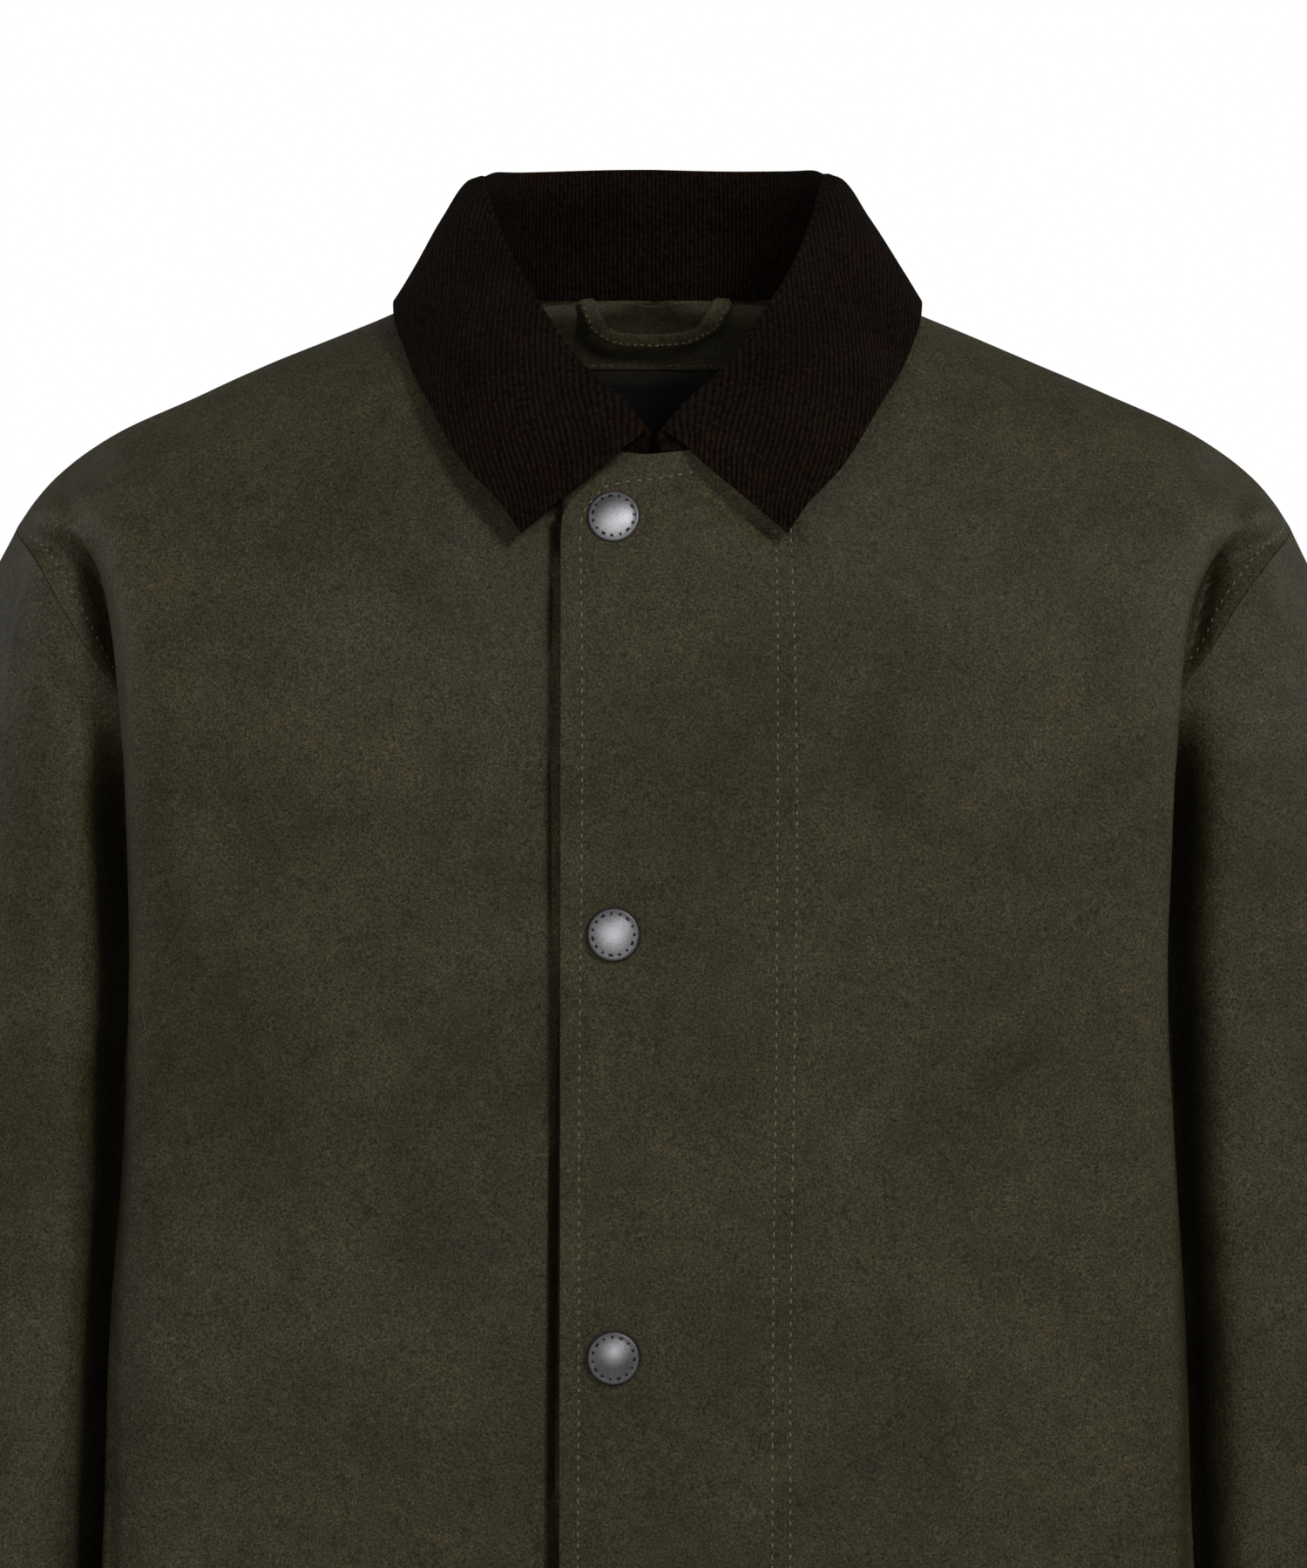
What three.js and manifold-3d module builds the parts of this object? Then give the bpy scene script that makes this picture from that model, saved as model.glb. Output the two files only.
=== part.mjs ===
// Waxed cotton jacket with a corduroy collar and a snapped front, in its worn, hollow form.
//
// Millimetres, +Z up, +X to the wearer's left, -Y to the wearer's front. The origin lies between
// the shoulders, level with the back neck seam. Each cloth panel is a surface drawn through a short
// table of sections and given a wall; neighbouring panels share their seam line and its slope, and
// stop 0.2 mm short of it.
import * as THREE from 'three';
import Module from 'manifold-3d';

const wasm = await Module();
wasm.setup();

// ---------------------------------------------------------------- driving sizes
const CLOTH = 1.5;            // waxed cotton with its interlining, wall
const CORD = 2.4;             // corduroy collar, two layers and interlining
const LIGHT = 1.0;            // facing, lining and label
const SEAM = 0.2;             // each panel stops this far from the seam line
const HEM = -770;             // hem level
const LAP = 2.4;              // each front's stand-off where the left front laps over the right
const LAP_EDGE = 35.6;        // free edge of the left front, past the centre line
const UNDER_EDGE = 22;        // edge of the right front, past the centre line
const NECK_X = 80, NECK_Y = 3, NECK_Z = 1;   // where collar and shoulder seam meet
const SHOULDER_Y = 3;         // the shoulder seam lies just behind the ridge
const SNAP = { levels: [-90.8, -249.2, -409.3, -568.5, -727.7], x: -15.5, cap: 9.7, rise: 3.2, shank: 2.3, socket: 6.0 };
const ROUND = 2.1;            // how square the chest rolls over into the shoulder
const FRONT_ROLL = -200, BACK_ROLL = -150;   // levels where that roll starts

// Shoulder ridge seen from the front: x out from the centre, z.
const RIDGE = [
  { x: 80, z: 1 }, { x: 101, z: -7.3 }, { x: 122, z: -16.8 }, { x: 158, z: -32.2 }, { x: 193, z: -47.5 },
  { x: 213.5, z: -57.7 }, { x: 228.5, z: -68 }, { x: 239.4, z: -78.2 }, { x: 248.7, z: -91.5 },
];
// Plan of the front: level, depth at the centre, and the fold that stands in front of the sleeve.
const FRONT_PLAN = [
  { z: -770, y: -121, x: 213, yc: -64 }, { z: -650, y: -121, x: 212, yc: -84 }, { z: -490, y: -121, x: 209.2, yc: -103 },
  { z: -420, y: -120, x: 206.5, yc: -105 }, { z: -330, y: -119, x: 202, yc: -105 }, { z: -262, y: -118, x: 199.2, yc: -105 },
  { z: -209, y: -118, x: 201.3, yc: -105 }, { z: -160, y: -118, x: 204.5, yc: -105 }, { z: -126, y: -118, x: 208.8, yc: -105 },
  { z: -109, y: -118, x: 213.4, yc: -104 }, { z: -94.5, y: -118, x: 221.7, yc: -102 }, { z: -60, y: -118, x: 236, yc: -97 },
];
// Plan of the back: the same.
const BACK_PLAN = [
  { z: -770, y: 112, x: 203, yc: 64 }, { z: -650, y: 103, x: 198, yc: 64 }, { z: -490, y: 91, x: 191, yc: 64 },
  { z: -350, y: 92, x: 180, yc: 74 }, { z: -262, y: 96, x: 178, yc: 80 }, { z: -200, y: 98, x: 185, yc: 83 },
  { z: -150, y: 98, x: 200, yc: 84 }, { z: -100, y: 98, x: 216, yc: 82 }, { z: -60, y: 98, x: 236, yc: 80 },
];
// Armhole from the shoulder seam down to the underarm, front half and back half.
const ARMHOLE_FRONT = [
  { x: 248.7, y: 3, z: -91.5 }, { x: 244.5, y: -42, z: -98 }, { x: 237.5, y: -60, z: -107 }, { x: 228.5, y: -68, z: -123 },
  { x: 218.5, y: -72, z: -139.5 }, { x: 207.5, y: -74, z: -154.5 }, { x: 190, y: -70, z: -183 }, { x: 175, y: -50, z: -226 },
  { x: 167.5, y: -26, z: -253 }, { x: 166, y: 0, z: -262 },
];
const ARMHOLE_BACK = [
  { x: 248.7, y: 3, z: -91.5 }, { x: 245, y: 38, z: -98 }, { x: 237, y: 55, z: -112 }, { x: 223, y: 67, z: -140 },
  { x: 204, y: 70, z: -177 }, { x: 184, y: 60, z: -217 }, { x: 170, y: 30, z: -252 }, { x: 166, y: 0, z: -262 },
];
const SIDE_SEAM = [
  { x: 166, y: 0, z: -262 }, { x: 161.8, y: 0.5, z: -272 }, { x: 160.5, y: 1, z: -290 }, { x: 161, y: 3, z: -350 }, { x: 165.5, y: 5, z: -410 },
  { x: 173, y: 6, z: -500 }, { x: 188, y: 6, z: -650 }, { x: 203, y: 6, z: -770 },
];
// Neckline, front half, from the collar's front end to the shoulder seam: x and z, on the chest.
const NECK_FRONT = [
  { x: 2.5, z: -66.3 }, { x: 18, z: -64.5 }, { x: 37, z: -55 }, { x: 53, z: -41 }, { x: 66.5, z: -24.5 }, { x: 75.5, z: -10 }, { x: 80, z: 1 },
];
// Neckline, back half, from the centre back to the shoulder seam.
const NECK_BACK = [
  { x: 0, y: 58, z: 0 }, { x: 28, y: 56.5, z: 0 }, { x: 52, y: 46, z: 0.2 }, { x: 71, y: 27, z: 0.8 }, { x: 80, y: 3, z: 1 },
];

// Rows of the front, hem to shoulder seam. in: start on the edge or neckline. fold: crest level.
// vx, vy, vz: the cloth behind the crest. out: level on the side seam, or place on the armhole (0 top, 1 underarm).
const FRONT_ROWS = [
  { inZ: -770, fold: -770, vx: 213, vy: -30, vz: -770, side: -770, n: 1 },
  { inZ: -640, fold: -648, vx: 206, vy: -44, vz: -650, side: -650, n: 1 },
  { inZ: -480, fold: -492, vx: 189, vy: -62, vz: -498, side: -500, n: 1 },
  { inZ: -372, fold: -398, vx: 180, vy: -68, vz: -408, side: -410, n: 1 },
  { inZ: -292, fold: -330, vx: 175, vy: -72, vz: -345, side: -350, n: 1 },
  { inZ: -236, fold: -278, vx: 173, vy: -74, vz: -284, side: -286, n: 1 },
  { inZ: -205, fold: -258, vx: 174, vy: -75, vz: -264, side: -262 },
  { inZ: -146, fold: -222, vx: 181, vy: -80, vz: -230, arm: 0.845 },
  { inZ: -91, fold: -188, vx: 187, vy: -82, vz: -192, arm: 0.68 },
  { inZ: -73.5, fold: -158, vx: 193, vy: -72, vz: -160, arm: 0.555 },
  { neck: 0, fold: -130, vx: 203, vy: -63, vz: -134, arm: 0.40 },
  { neck: 0.36, fold: -108, vx: 212, vy: -62, vz: -112, arm: 0.265 },
  { neck: 0.72, fold: -91, vx: 229, vy: -58, vz: -92, arm: 0.14 },
  { neck: 1, seam: true },
];
// Rows of the back half, hem to shoulder seam.
const BACK_ROWS = [
  { inZ: -770, fold: -770, vx: 209, vy: 36, vz: -770, side: -770, n: 1 },
  { inZ: -648, fold: -650, vx: 197, vy: 38, vz: -650, side: -650, n: 1 },
  { inZ: -496, fold: -500, vx: 182, vy: 40, vz: -500, side: -500, n: 1 },
  { inZ: -404, fold: -408, vx: 174, vy: 44, vz: -410, side: -410, n: 1 },
  { inZ: -334, fold: -346, vx: 169, vy: 46, vz: -350, side: -350, n: 1 },
  { inZ: -256, fold: -280, vx: 168, vy: 47, vz: -286, side: -286, n: 1 },
  { inZ: -216, fold: -256, vx: 168, vy: 48, vz: -264, side: -262 },
  { inZ: -140, fold: -206, vx: 178, vy: 69, vz: -214, arm: 0.78 },
  { inZ: -84, fold: -172, vx: 198, vy: 77, vz: -176, arm: 0.58 },
  { inZ: -56, fold: -156, vx: 205, vy: 77, vz: -160, arm: 0.5, n: 1 },
  { inZ: -40, fold: -146, vx: 210, vy: 77, vz: -150, arm: 0.455, n: 1 },
  { inZ: -26, fold: -138, vx: 215, vy: 76, vz: -142, arm: 0.42 },
  { neck: 0, fold: -126, vx: 219, vy: 75, vz: -128, arm: 0.36 },
  { neck: 0.4, fold: -100, vx: 231, vy: 64, vz: -100, arm: 0.2 },
  { neck: 1, seam: true },
];
// Sleeve sections below the armhole: outer and inner edge seen from the front, front and back depth.
const SLEEVE = [
  { xo: 256.8, zo: -110, xi: 175.5, zi: -274, yf: -80, yb: 75 },
  { xo: 268.5, zo: -156, xi: 174.5, zi: -300, yf: -85, yb: 76 },
  { xo: 279, zo: -236, xi: 175.5, zi: -345, yf: -87, yb: 73 },
  { xo: 289, zo: -335, xi: 177, zi: -410, yf: -90, yb: 66 },
  { xo: 298, zo: -460, xi: 189, zi: -492, yf: -93, yb: 52 },
  { xo: 307, zo: -590, xi: 204, zi: -598, yf: -95, yb: 36 },
  { xo: 315, zo: -700, xi: 220, zi: -702, yf: -96, yb: 20 },
];
// Collar, from its front end to the centre back: place on the neckline (front, then back half), fold line, outer
// edge, how far the fall and the stand bow out.
const COLLAR = [
  { neck: 0, fx: 2.6, fy: -98.5, fz: -57.5, ox: 50.6, oy: -113.5, oz: -97, bow: 1, stand: 0 },
  { neck: 0.20, fx: 11, fy: -92.5, fz: -47, ox: 59.5, oy: -110.5, oz: -84, bow: 2, stand: 0.5 },
  { neck: 0.42, fx: 27.4, fy: -80, fz: -31.6, ox: 73, oy: -102.5, oz: -69.5, bow: 3, stand: 1 },
  { neck: 0.62, fx: 42, fy: -62, fz: -11.5, ox: 86.8, oy: -86, oz: -47, bow: 3.5, stand: 1.5 },
  { neck: 0.78, fx: 55.5, fy: -37, fz: 12, ox: 96, oy: -67, oz: -31.5, bow: 3.5, stand: 2 },
  { neck: 0.90, fx: 62.8, fy: -16, fz: 30, ox: 102, oy: -49.5, oz: -15, bow: 3, stand: 2 },
  { neck: 0.95, fx: 65, fy: -6, fz: 38, ox: 103, oy: -29, oz: -6.8, bow: 2.2, stand: 2 },
  { neck: 1.0, fx: 66.5, fy: 5, fz: 44.5, ox: 103, oy: -6, oz: -4.2, bow: 1.5, stand: 2 },
  { back: 0.80, fx: 65.5, fy: 22, fz: 48.8, ox: 101, oy: 34, oz: -8, bow: 2, stand: 2 },
  { back: 0.55, fx: 53, fy: 40, fz: 50, ox: 84, oy: 62, oz: -11, bow: 3.5, stand: 2 },
  { back: 0.28, fx: 29, fy: 52.5, fz: 50.8, ox: 46, oy: 73.5, oz: -12.5, bow: 4, stand: 1.5 },
  { back: 0, fx: 0, fy: 56, fz: 51.3, ox: 0, oy: 77, oz: -13, bow: 4, stand: 1 },
];
const UNDERARM = 2;           // room between the two walls there
const FOLD_R = 2.6;           // half the gap between stand and fall at the collar's fold

// Mesh steps between neighbouring rows of each table.
const STEPS_U = [2, 2, 2, 2, 2, 2, 3];
const STEPS_V = 2;            // 1 where a row says n: 1

// ---------------------------------------------------------------- small vector helpers
const add = (a, b, k = 1) => [a[0] + b[0] * k, a[1] + b[1] * k, a[2] + b[2] * k];
const sub = (a, b) => [a[0] - b[0], a[1] - b[1], a[2] - b[2]];
const dot = (a, b) => a[0] * b[0] + a[1] * b[1] + a[2] * b[2];
const cross = (a, b) => [a[1] * b[2] - a[2] * b[1], a[2] * b[0] - a[0] * b[2], a[0] * b[1] - a[1] * b[0]];
const len = (a) => Math.hypot(a[0], a[1], a[2]);
const unit = (a) => { const l = len(a) || 1; return [a[0] / l, a[1] / l, a[2] / l]; };
const mix = (a, b, t) => a + (b - a) * t;
const clamp = (x, lo, hi) => Math.min(hi, Math.max(lo, x));
const smooth = (a, b, x) => { const t = clamp((x - a) / (b - a), 0, 1); return t * t * (3 - 2 * t); };
const xyz = (r) => [r.x, r.y, r.z];

// A smooth curve through vectors p at places t: cubic pieces whose slopes come from the neighbours.
function through(t, p) {
  const n = t.length, d = p[0].length, m = [];
  for (let i = 0; i < n; i++) {
    const s = [];
    for (let k = 0; k < d; k++) {
      const a = i > 0 ? (p[i][k] - p[i - 1][k]) / (t[i] - t[i - 1]) : null;
      const b = i < n - 1 ? (p[i + 1][k] - p[i][k]) / (t[i + 1] - t[i]) : null;
      if (a === null) s.push(b);
      else if (b === null) s.push(a);
      else s.push((a * (t[i + 1] - t[i]) + b * (t[i] - t[i - 1])) / (t[i + 1] - t[i - 1]));
    }
    m.push(s);
  }
  return (x) => {
    let i = 0;
    while (i < n - 2 && x > t[i + 1]) i++;
    const h = t[i + 1] - t[i], u = clamp((x - t[i]) / h, 0, 1), u2 = u * u, u3 = u2 * u;
    return p[i].map((v, k) => v * (2 * u3 - 3 * u2 + 1) + p[i + 1][k] * (3 * u2 - 2 * u3)
      + h * (m[i][k] * (u3 - 2 * u2 + u) + m[i + 1][k] * (u3 - u2)));
  };
}
// The same through points spaced by their own distances; place runs 0, 1, 2 ... from point to point.
function thread(points) {
  const t = [0];
  for (let i = 1; i < points.length; i++) t.push(t[i - 1] + Math.max(1e-3, len(sub(points[i], points[i - 1]))));
  const f = through(t, points);
  return (k) => { const i = Math.min(points.length - 2, Math.floor(k)); return f(mix(t[i], t[i + 1], k - i)); };
}
// A curve placed by the share of its length, 0 to 1.
function byLength(points) {
  const t = [0];
  for (let i = 1; i < points.length; i++) t.push(t[i - 1] + len(sub(points[i], points[i - 1])));
  const f = through(t.map((v) => v / t[t.length - 1]), points);
  return (s) => f(s);
}
const column = (rows, key, by = 'z') => { const f = through(rows.map((r) => r[by]), rows.map((r) => [r[key]])); return (v) => f(v)[0]; };

// ---------------------------------------------------------------- the torso's form
const ridgeAt = column(RIDGE, 'z', 'x');
const ridgeZ = (x, inner) => (x < NECK_X ? NECK_Z + (NECK_X - x) * inner : ridgeAt(Math.min(x, 248.7)));
const fy = column(FRONT_PLAN, 'y'), fx = column(FRONT_PLAN, 'x'), fc = column(FRONT_PLAN, 'yc');
const by = column(BACK_PLAN, 'y'), bx = column(BACK_PLAN, 'x'), bc = column(BACK_PLAN, 'yc');
function roll(z, start, top) {
  const r = clamp((z - start) / (top - start), 0, 1);
  return Math.pow(Math.max(0, 1 - Math.pow(r, ROUND)), 1 / ROUND);
}
function frontY(x, z) {
  const a = Math.abs(x), zz = clamp(z, -770, -60);
  return (fy(zz) + (fc(zz) - fy(zz)) * Math.pow(a / fx(zz), 3)) * roll(z, FRONT_ROLL, ridgeZ(a, 0.3));
}
function backY(x, z) {
  const a = Math.abs(x), zz = clamp(z, -770, -60);
  return (by(zz) + (bc(zz) - by(zz)) * Math.pow(a / bx(zz), 3)) * roll(z, BACK_ROLL, ridgeZ(a, 0.39));
}
// Where the fronts lap, each one stands off to its own side.
const lap = (x) => LAP * (1 - smooth(42, 92, x));

const shoulderSeam = byLength(RIDGE.map((r, i) => [r.x, mix(NECK_Y, SHOULDER_Y, i / 8), r.z]));
const armFront = byLength(ARMHOLE_FRONT.map(xyz)), armBack = byLength(ARMHOLE_BACK.map(xyz));
const sideSeam = (z) => { const f = through(SIDE_SEAM.map((r) => -r.z), SIDE_SEAM.map(xyz)); return f(-z); };
const neckFront = byLength(NECK_FRONT.map((r, i) => [r.x, i === NECK_FRONT.length - 1 ? NECK_Y : frontY(r.x, r.z), r.z]));
const neckBack = byLength(NECK_BACK.map(xyz));

// ---------------------------------------------------------------- panels
// One half panel as a grid of points. Each row runs from its inner end over the chest or back,
// round the fold's crest and behind it to the side seam or armhole.
const ALONG = [0, 0.27, 0.55, 0.8];
function rowPoints(row, sideKey, edge, depth, planX) {
  if (row.seam) {
    return [0, 0.27, 0.53, 0.75, 0.84, 0.89, 0.945, 1].map((s) => shoulderSeam(s));
  }
  const front = sideKey === 'front';
  const start = row.neck !== undefined ? (front ? neckFront : neckBack)(row.neck) : [edge(row.inZ), 0, row.inZ];
  const end = row.side !== undefined ? sideSeam(row.side) : (front ? armFront : armBack)(row.arm);
  const sgn = front ? -1 : 1, xc = planX(row.fold), pts = [];
  for (const s of ALONG) {
    const x = mix(start[0], xc - 9, s), z = mix(start[2], row.fold, s * s * (2 - s));
    pts.push(s === 0 && row.neck !== undefined ? start : [x, depth(x, z), z]);
  }
  pts.push([xc - 9, depth(xc - 9, row.fold), row.fold]);
  pts.push([xc, depth(xc - 9, row.fold) - sgn * 9, row.fold]);
  pts.push([row.vx, row.vy, row.vz]);
  pts.push(end);
  return pts;
}
function halfPanel(rows, sideKey, edge, depth, planX, shift, steps = STEPS_U, nv = STEPS_V) {
  const us = [];
  steps.forEach((n, k) => { for (let i = 0; i < n; i++) us.push(k + i / n); });
  us.push(steps.length);
  const rowsAt = rows.map((r) => { const f = thread(rowPoints(r, sideKey, edge, depth, planX)); return us.map((u) => f(u)); });
  const front = sideKey === 'front', grid = us.map(() => []);
  const places = [];
  rows.slice(0, -1).forEach((q, r) => { const n = q.n ?? nv; for (let i = 0; i < n; i++) places.push(r + i / n); });
  places.push(rows.length - 1);
  us.forEach((u, i) => {
    const col = rowsAt.map((r) => r[i]), f = thread(col);
    places.forEach((v) => {
      let p = f(v);
      if (u < 3.9 && v < rows.length - 1) {                 // before the fold the cloth lies on the form itself
        const k = 1 - smooth(3, 3.9, u);
        p = [p[0], mix(p[1], depth(p[0], p[2]), k), p[2]];
      }
      grid[i].push(p);
    });
  });
  // the seam lines, exactly: side seam and armhole, neckline, shoulder seam
  const at = (v, key) => { const r = Math.min(rows.length - 2, Math.floor(v)), a = rows[r], b = rows[r + 1]; return mix(key(a), key(b), v - r); };
  const last = us.length - 1;
  places.forEach((v, j) => {
    const r = Math.min(rows.length - 2, Math.floor(v)), a = rows[r], b = rows[r + 1];
    if (v < rows.length - 1) {
      let end;
      if (b.side !== undefined) end = sideSeam(at(v, (q) => q.side));
      else end = (front ? armFront : armBack)(at(v, (q) => (q.side !== undefined ? 1 : q.seam ? 0 : q.arm)));
      const d = sub(end, grid[last][j]);
      us.forEach((u, i) => { if (u > 6) grid[i][j] = add(grid[i][j], d, smooth(6, 7, u)); });
      {
        const z = grid[0][j][2], x = edge(z);
        const start = a.neck !== undefined ? (front ? neckFront : neckBack)(at(v, (q) => q.neck)) : [x, depth(x, z), z];
        const e = sub(start, grid[0][j]);
        us.forEach((u, i) => { if (u < 1) grid[i][j] = add(grid[i][j], e, 1 - smooth(0, 1, u)); });
      }
    }
  });
  if (shift) grid.forEach((c) => c.forEach((p) => { p[1] += shift(p[0]); }));
  return { grid, us, places };
}

// Indexed surface from grids, with equal points shared.
function surface() {
  const key = new Map(), P = [], T = [];
  const put = (p) => {
    const k = p.map((v) => Math.round(v * 1e4)).join(',');
    if (!key.has(k)) { key.set(k, P.length); P.push(p.slice()); }
    return key.get(k);
  };
  return {
    P, T,
    grid(g, flip = false, closed = false) {
      const n = g.length, m = g[0].length, id = g.map((c) => c.map(put));
      for (let i = 0; i < (closed ? n : n - 1); i++) for (let j = 0; j < m - 1; j++) {
        const a = id[i][j], b = id[(i + 1) % n][j], c = id[(i + 1) % n][j + 1], d = id[i][j + 1];
        const short = len(sub(P[a], P[c])) <= len(sub(P[b], P[d]));
        const tris = short ? [[a, b, c], [a, c, d]] : [[a, b, d], [b, c, d]];
        for (const t of tris) if (t[0] !== t[1] && t[1] !== t[2] && t[2] !== t[0]) T.push(flip ? [t[0], t[2], t[1]] : t);
      }
      return this;
    },
  };
}
const mirrored = (g) => g.map((c) => c.map((p) => [-p[0], p[1], p[2]]));

// The wearer's left chest edge and armhole sit a few millimetres nearer the centre.
function settle(p) {
  const [x, y, z] = p;
  const k = smooth(90, 190, x) * (1 - smooth(228, 256, x)) * smooth(-92, -128, z) * (1 - smooth(-560, -700, z)) * (1 - smooth(-40, 30, y));
  return [x - 4.2 * k, y, z];
}

// ---------------------------------------------------------------- walls
const walls = [];
function cloth(name, surf, thick, look, { moved = true, mid = 0 } = {}) {
  if (moved) surf.P.forEach((p, i) => { surf.P[i] = settle(p); });
  walls.push({ name, P: surf.P, T: surf.T, thick, look, mid });
}
function normals(w) {
  w.N = w.P.map(() => [0, 0, 0]);
  for (const [a, b, c] of w.T) {
    const n = cross(sub(w.P[b], w.P[a]), sub(w.P[c], w.P[a]));
    for (const i of [a, b, c]) w.N[i] = add(w.N[i], n);
  }
  w.N = w.N.map(unit);
}
// Give every surface its two faces and its edges.
function thicken() {
  walls.forEach(normals);
  const met = new Map();
  walls.forEach((w) => w.P.forEach((p, i) => {
    const k = p.map((v) => Math.round(v * 1e3)).join(',');
    if (!met.has(k)) met.set(k, []);
    met.get(k).push([w, i]);
  }));
  for (const list of met.values()) {
    if (list.length < 2) continue;
    const n = unit(list.reduce((s, [w, i]) => add(s, w.N[i]), [0, 0, 0]));
    for (const [w, i] of list) { (w.M ??= new Map()).set(i, n); if (list.length > 2) (w.corner ??= new Set()).add(i); }
  }
  const out = [];
  for (const w of walls) {
    const edges = new Map();
    for (const t of w.T) for (let k = 0; k < 3; k++) {
      const a = t[k], b = t[(k + 1) % 3];
      if (edges.has(`${b},${a}`)) edges.delete(`${b},${a}`);
      else edges.set(`${a},${b}`, [a, b, t[(k + 2) % 3]]);
    }
    const inward = new Map();
    for (const [a, b, c] of edges.values()) {
      const e = unit(sub(w.P[b], w.P[a])), q = sub(w.P[c], w.P[a]), d = unit(add(q, e, -dot(q, e)));
      for (const i of [a, b]) inward.set(i, [...(inward.get(i) ?? []), d]);
    }
    const P = w.P.map((p, i) => {
      if (!inward.has(i)) return p;
      const d = inward.get(i), s = unit(d.reduce((x, y) => add(x, y), [0, 0, 0])), m = w.M?.get(i) ?? w.N[i];
      return add(p, unit(add(s, m, -dot(s, m))), ((w.corner?.has(i) ? 3 : 1) * (1 + 2.5 * (1 - Math.abs(dot(m, w.N[i])))) * SEAM) / Math.max(0.5, dot(s, d[0])));
    });
    const N = w.N.map((n, i) => w.M?.get(i) ?? n), n = P.length, verts = [];
    for (const side of [0.5, -0.5]) P.forEach((p, i) => verts.push(add(p, N[i], (side + w.mid) * w.thick)));
    const tris = [];
    for (const [a, b, c] of w.T) tris.push([a, b, c], [a + n, c + n, b + n]);
    for (const [a, b] of edges.values()) tris.push([a, a + n, b + n], [a, b + n, b]);
    out.push({ name: w.name, look: w.look, verts, tris, faces: w.T.length * 2 });
  }
  return out;
}

// ---------------------------------------------------------------- cloth panels
const OLIVE = { color: 0x3d392c, roughness: 0.62, metalness: 0 };
const OLIVE_IN = { color: 0x2c281e, roughness: 0.75, metalness: 0 };
const BROWN = { color: 0x1a120d, roughness: 0.95, metalness: 0 };
const BLACK = { color: 0x0c0b0b, roughness: 0.8, metalness: 0 };
const METAL = { color: 0x5a585a, roughness: 0.4, metalness: 1 };

// the left front ends at its free edge with a cut-off top corner, the right one at its hidden edge
const lapEdge = through([-770, -106, -98, -91, -82, -73.5, -66],
  [[-LAP_EDGE - 1], [-LAP_EDGE], [-LAP_EDGE], [-LAP_EDGE + 0.6], [-29], [-19], [-6]]);
const leftHalf = halfPanel(FRONT_ROWS, 'front', (z) => lapEdge(z)[0], frontY, fx, (x) => -lap(x));
const rightHalf = halfPanel(FRONT_ROWS, 'front', (z) => (z > -80 ? -UNDER_EDGE + 6 : -UNDER_EDGE), frontY, fx, (x) => lap(x));
const backHalf = halfPanel(BACK_ROWS, 'back', () => 0, backY, bx, null);

cloth('front_left', surface().grid(leftHalf.grid), CLOTH, OLIVE);
cloth('front_right', surface().grid(mirrored(rightHalf.grid), true), CLOTH, OLIVE);
cloth('back', surface().grid(backHalf.grid, true).grid(mirrored(backHalf.grid)), CLOTH, OLIVE);

// sleeves: the armhole of front and back, then rings down to the cuff
function sleeveGrid() {
  const armRows = (h, n) => h.grid[h.grid.length - 1].slice(h.places.indexOf(n));
  const f = armRows(leftHalf, 6).reverse(), b = armRows(backHalf, 6);       // top to underarm, underarm to top
  const loop = [...f, ...b.slice(1, -1)];
  const angle = [];
  let run = [0];
  for (let i = 1; i < f.length; i++) run.push(run[i - 1] + len(sub(f[i], f[i - 1])));
  run.forEach((r) => angle.push((r / run[run.length - 1]) * Math.PI));
  run = [0];
  for (let i = 1; i < b.length; i++) run.push(run[i - 1] + len(sub(b[i], b[i - 1])));
  run.slice(1, -1).forEach((r) => angle.push(Math.PI + (r / run[run.length - 1]) * Math.PI));
  const ring = (s, a) => {
    const c = Math.cos(a), q = Math.sin(a), m = [(s.xo + s.xi) / 2, (s.yf + s.yb) / 2, (s.zo + s.zi) / 2];
    const side = Math.sign(c) * Math.pow(Math.abs(c), 0.94), fore = Math.sign(q) * Math.pow(Math.abs(q), 0.94);
    return [m[0] + ((s.xo - s.xi) / 2) * side, m[1] - ((s.yb - s.yf) / 2) * fore, m[2] + ((s.zo - s.zi) / 2) * side];
  };
  const grid = loop.map((q, i) => {
    let p = q;
    if (p[2] < -250) p = add(p, [UNDERARM, 0, 0]);         // at the underarm, sleeve and body hang back to back
    const t = thread([p, ...SLEEVE.map((s) => ring(s, angle[i]))]), c = [];
    for (let r = 0; r < SLEEVE.length; r++) { c.push(t(r)); if (r > 0) c.push(t(r + 0.5)); }
    c.push(t(SLEEVE.length));
    return c;
  });
  return grid;
}
const sleeve = sleeveGrid();
cloth('sleeve_left', surface().grid(sleeve, false, true), CLOTH, OLIVE);
cloth('sleeve_right', surface().grid(mirrored(sleeve), true, true), CLOTH, OLIVE);

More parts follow.
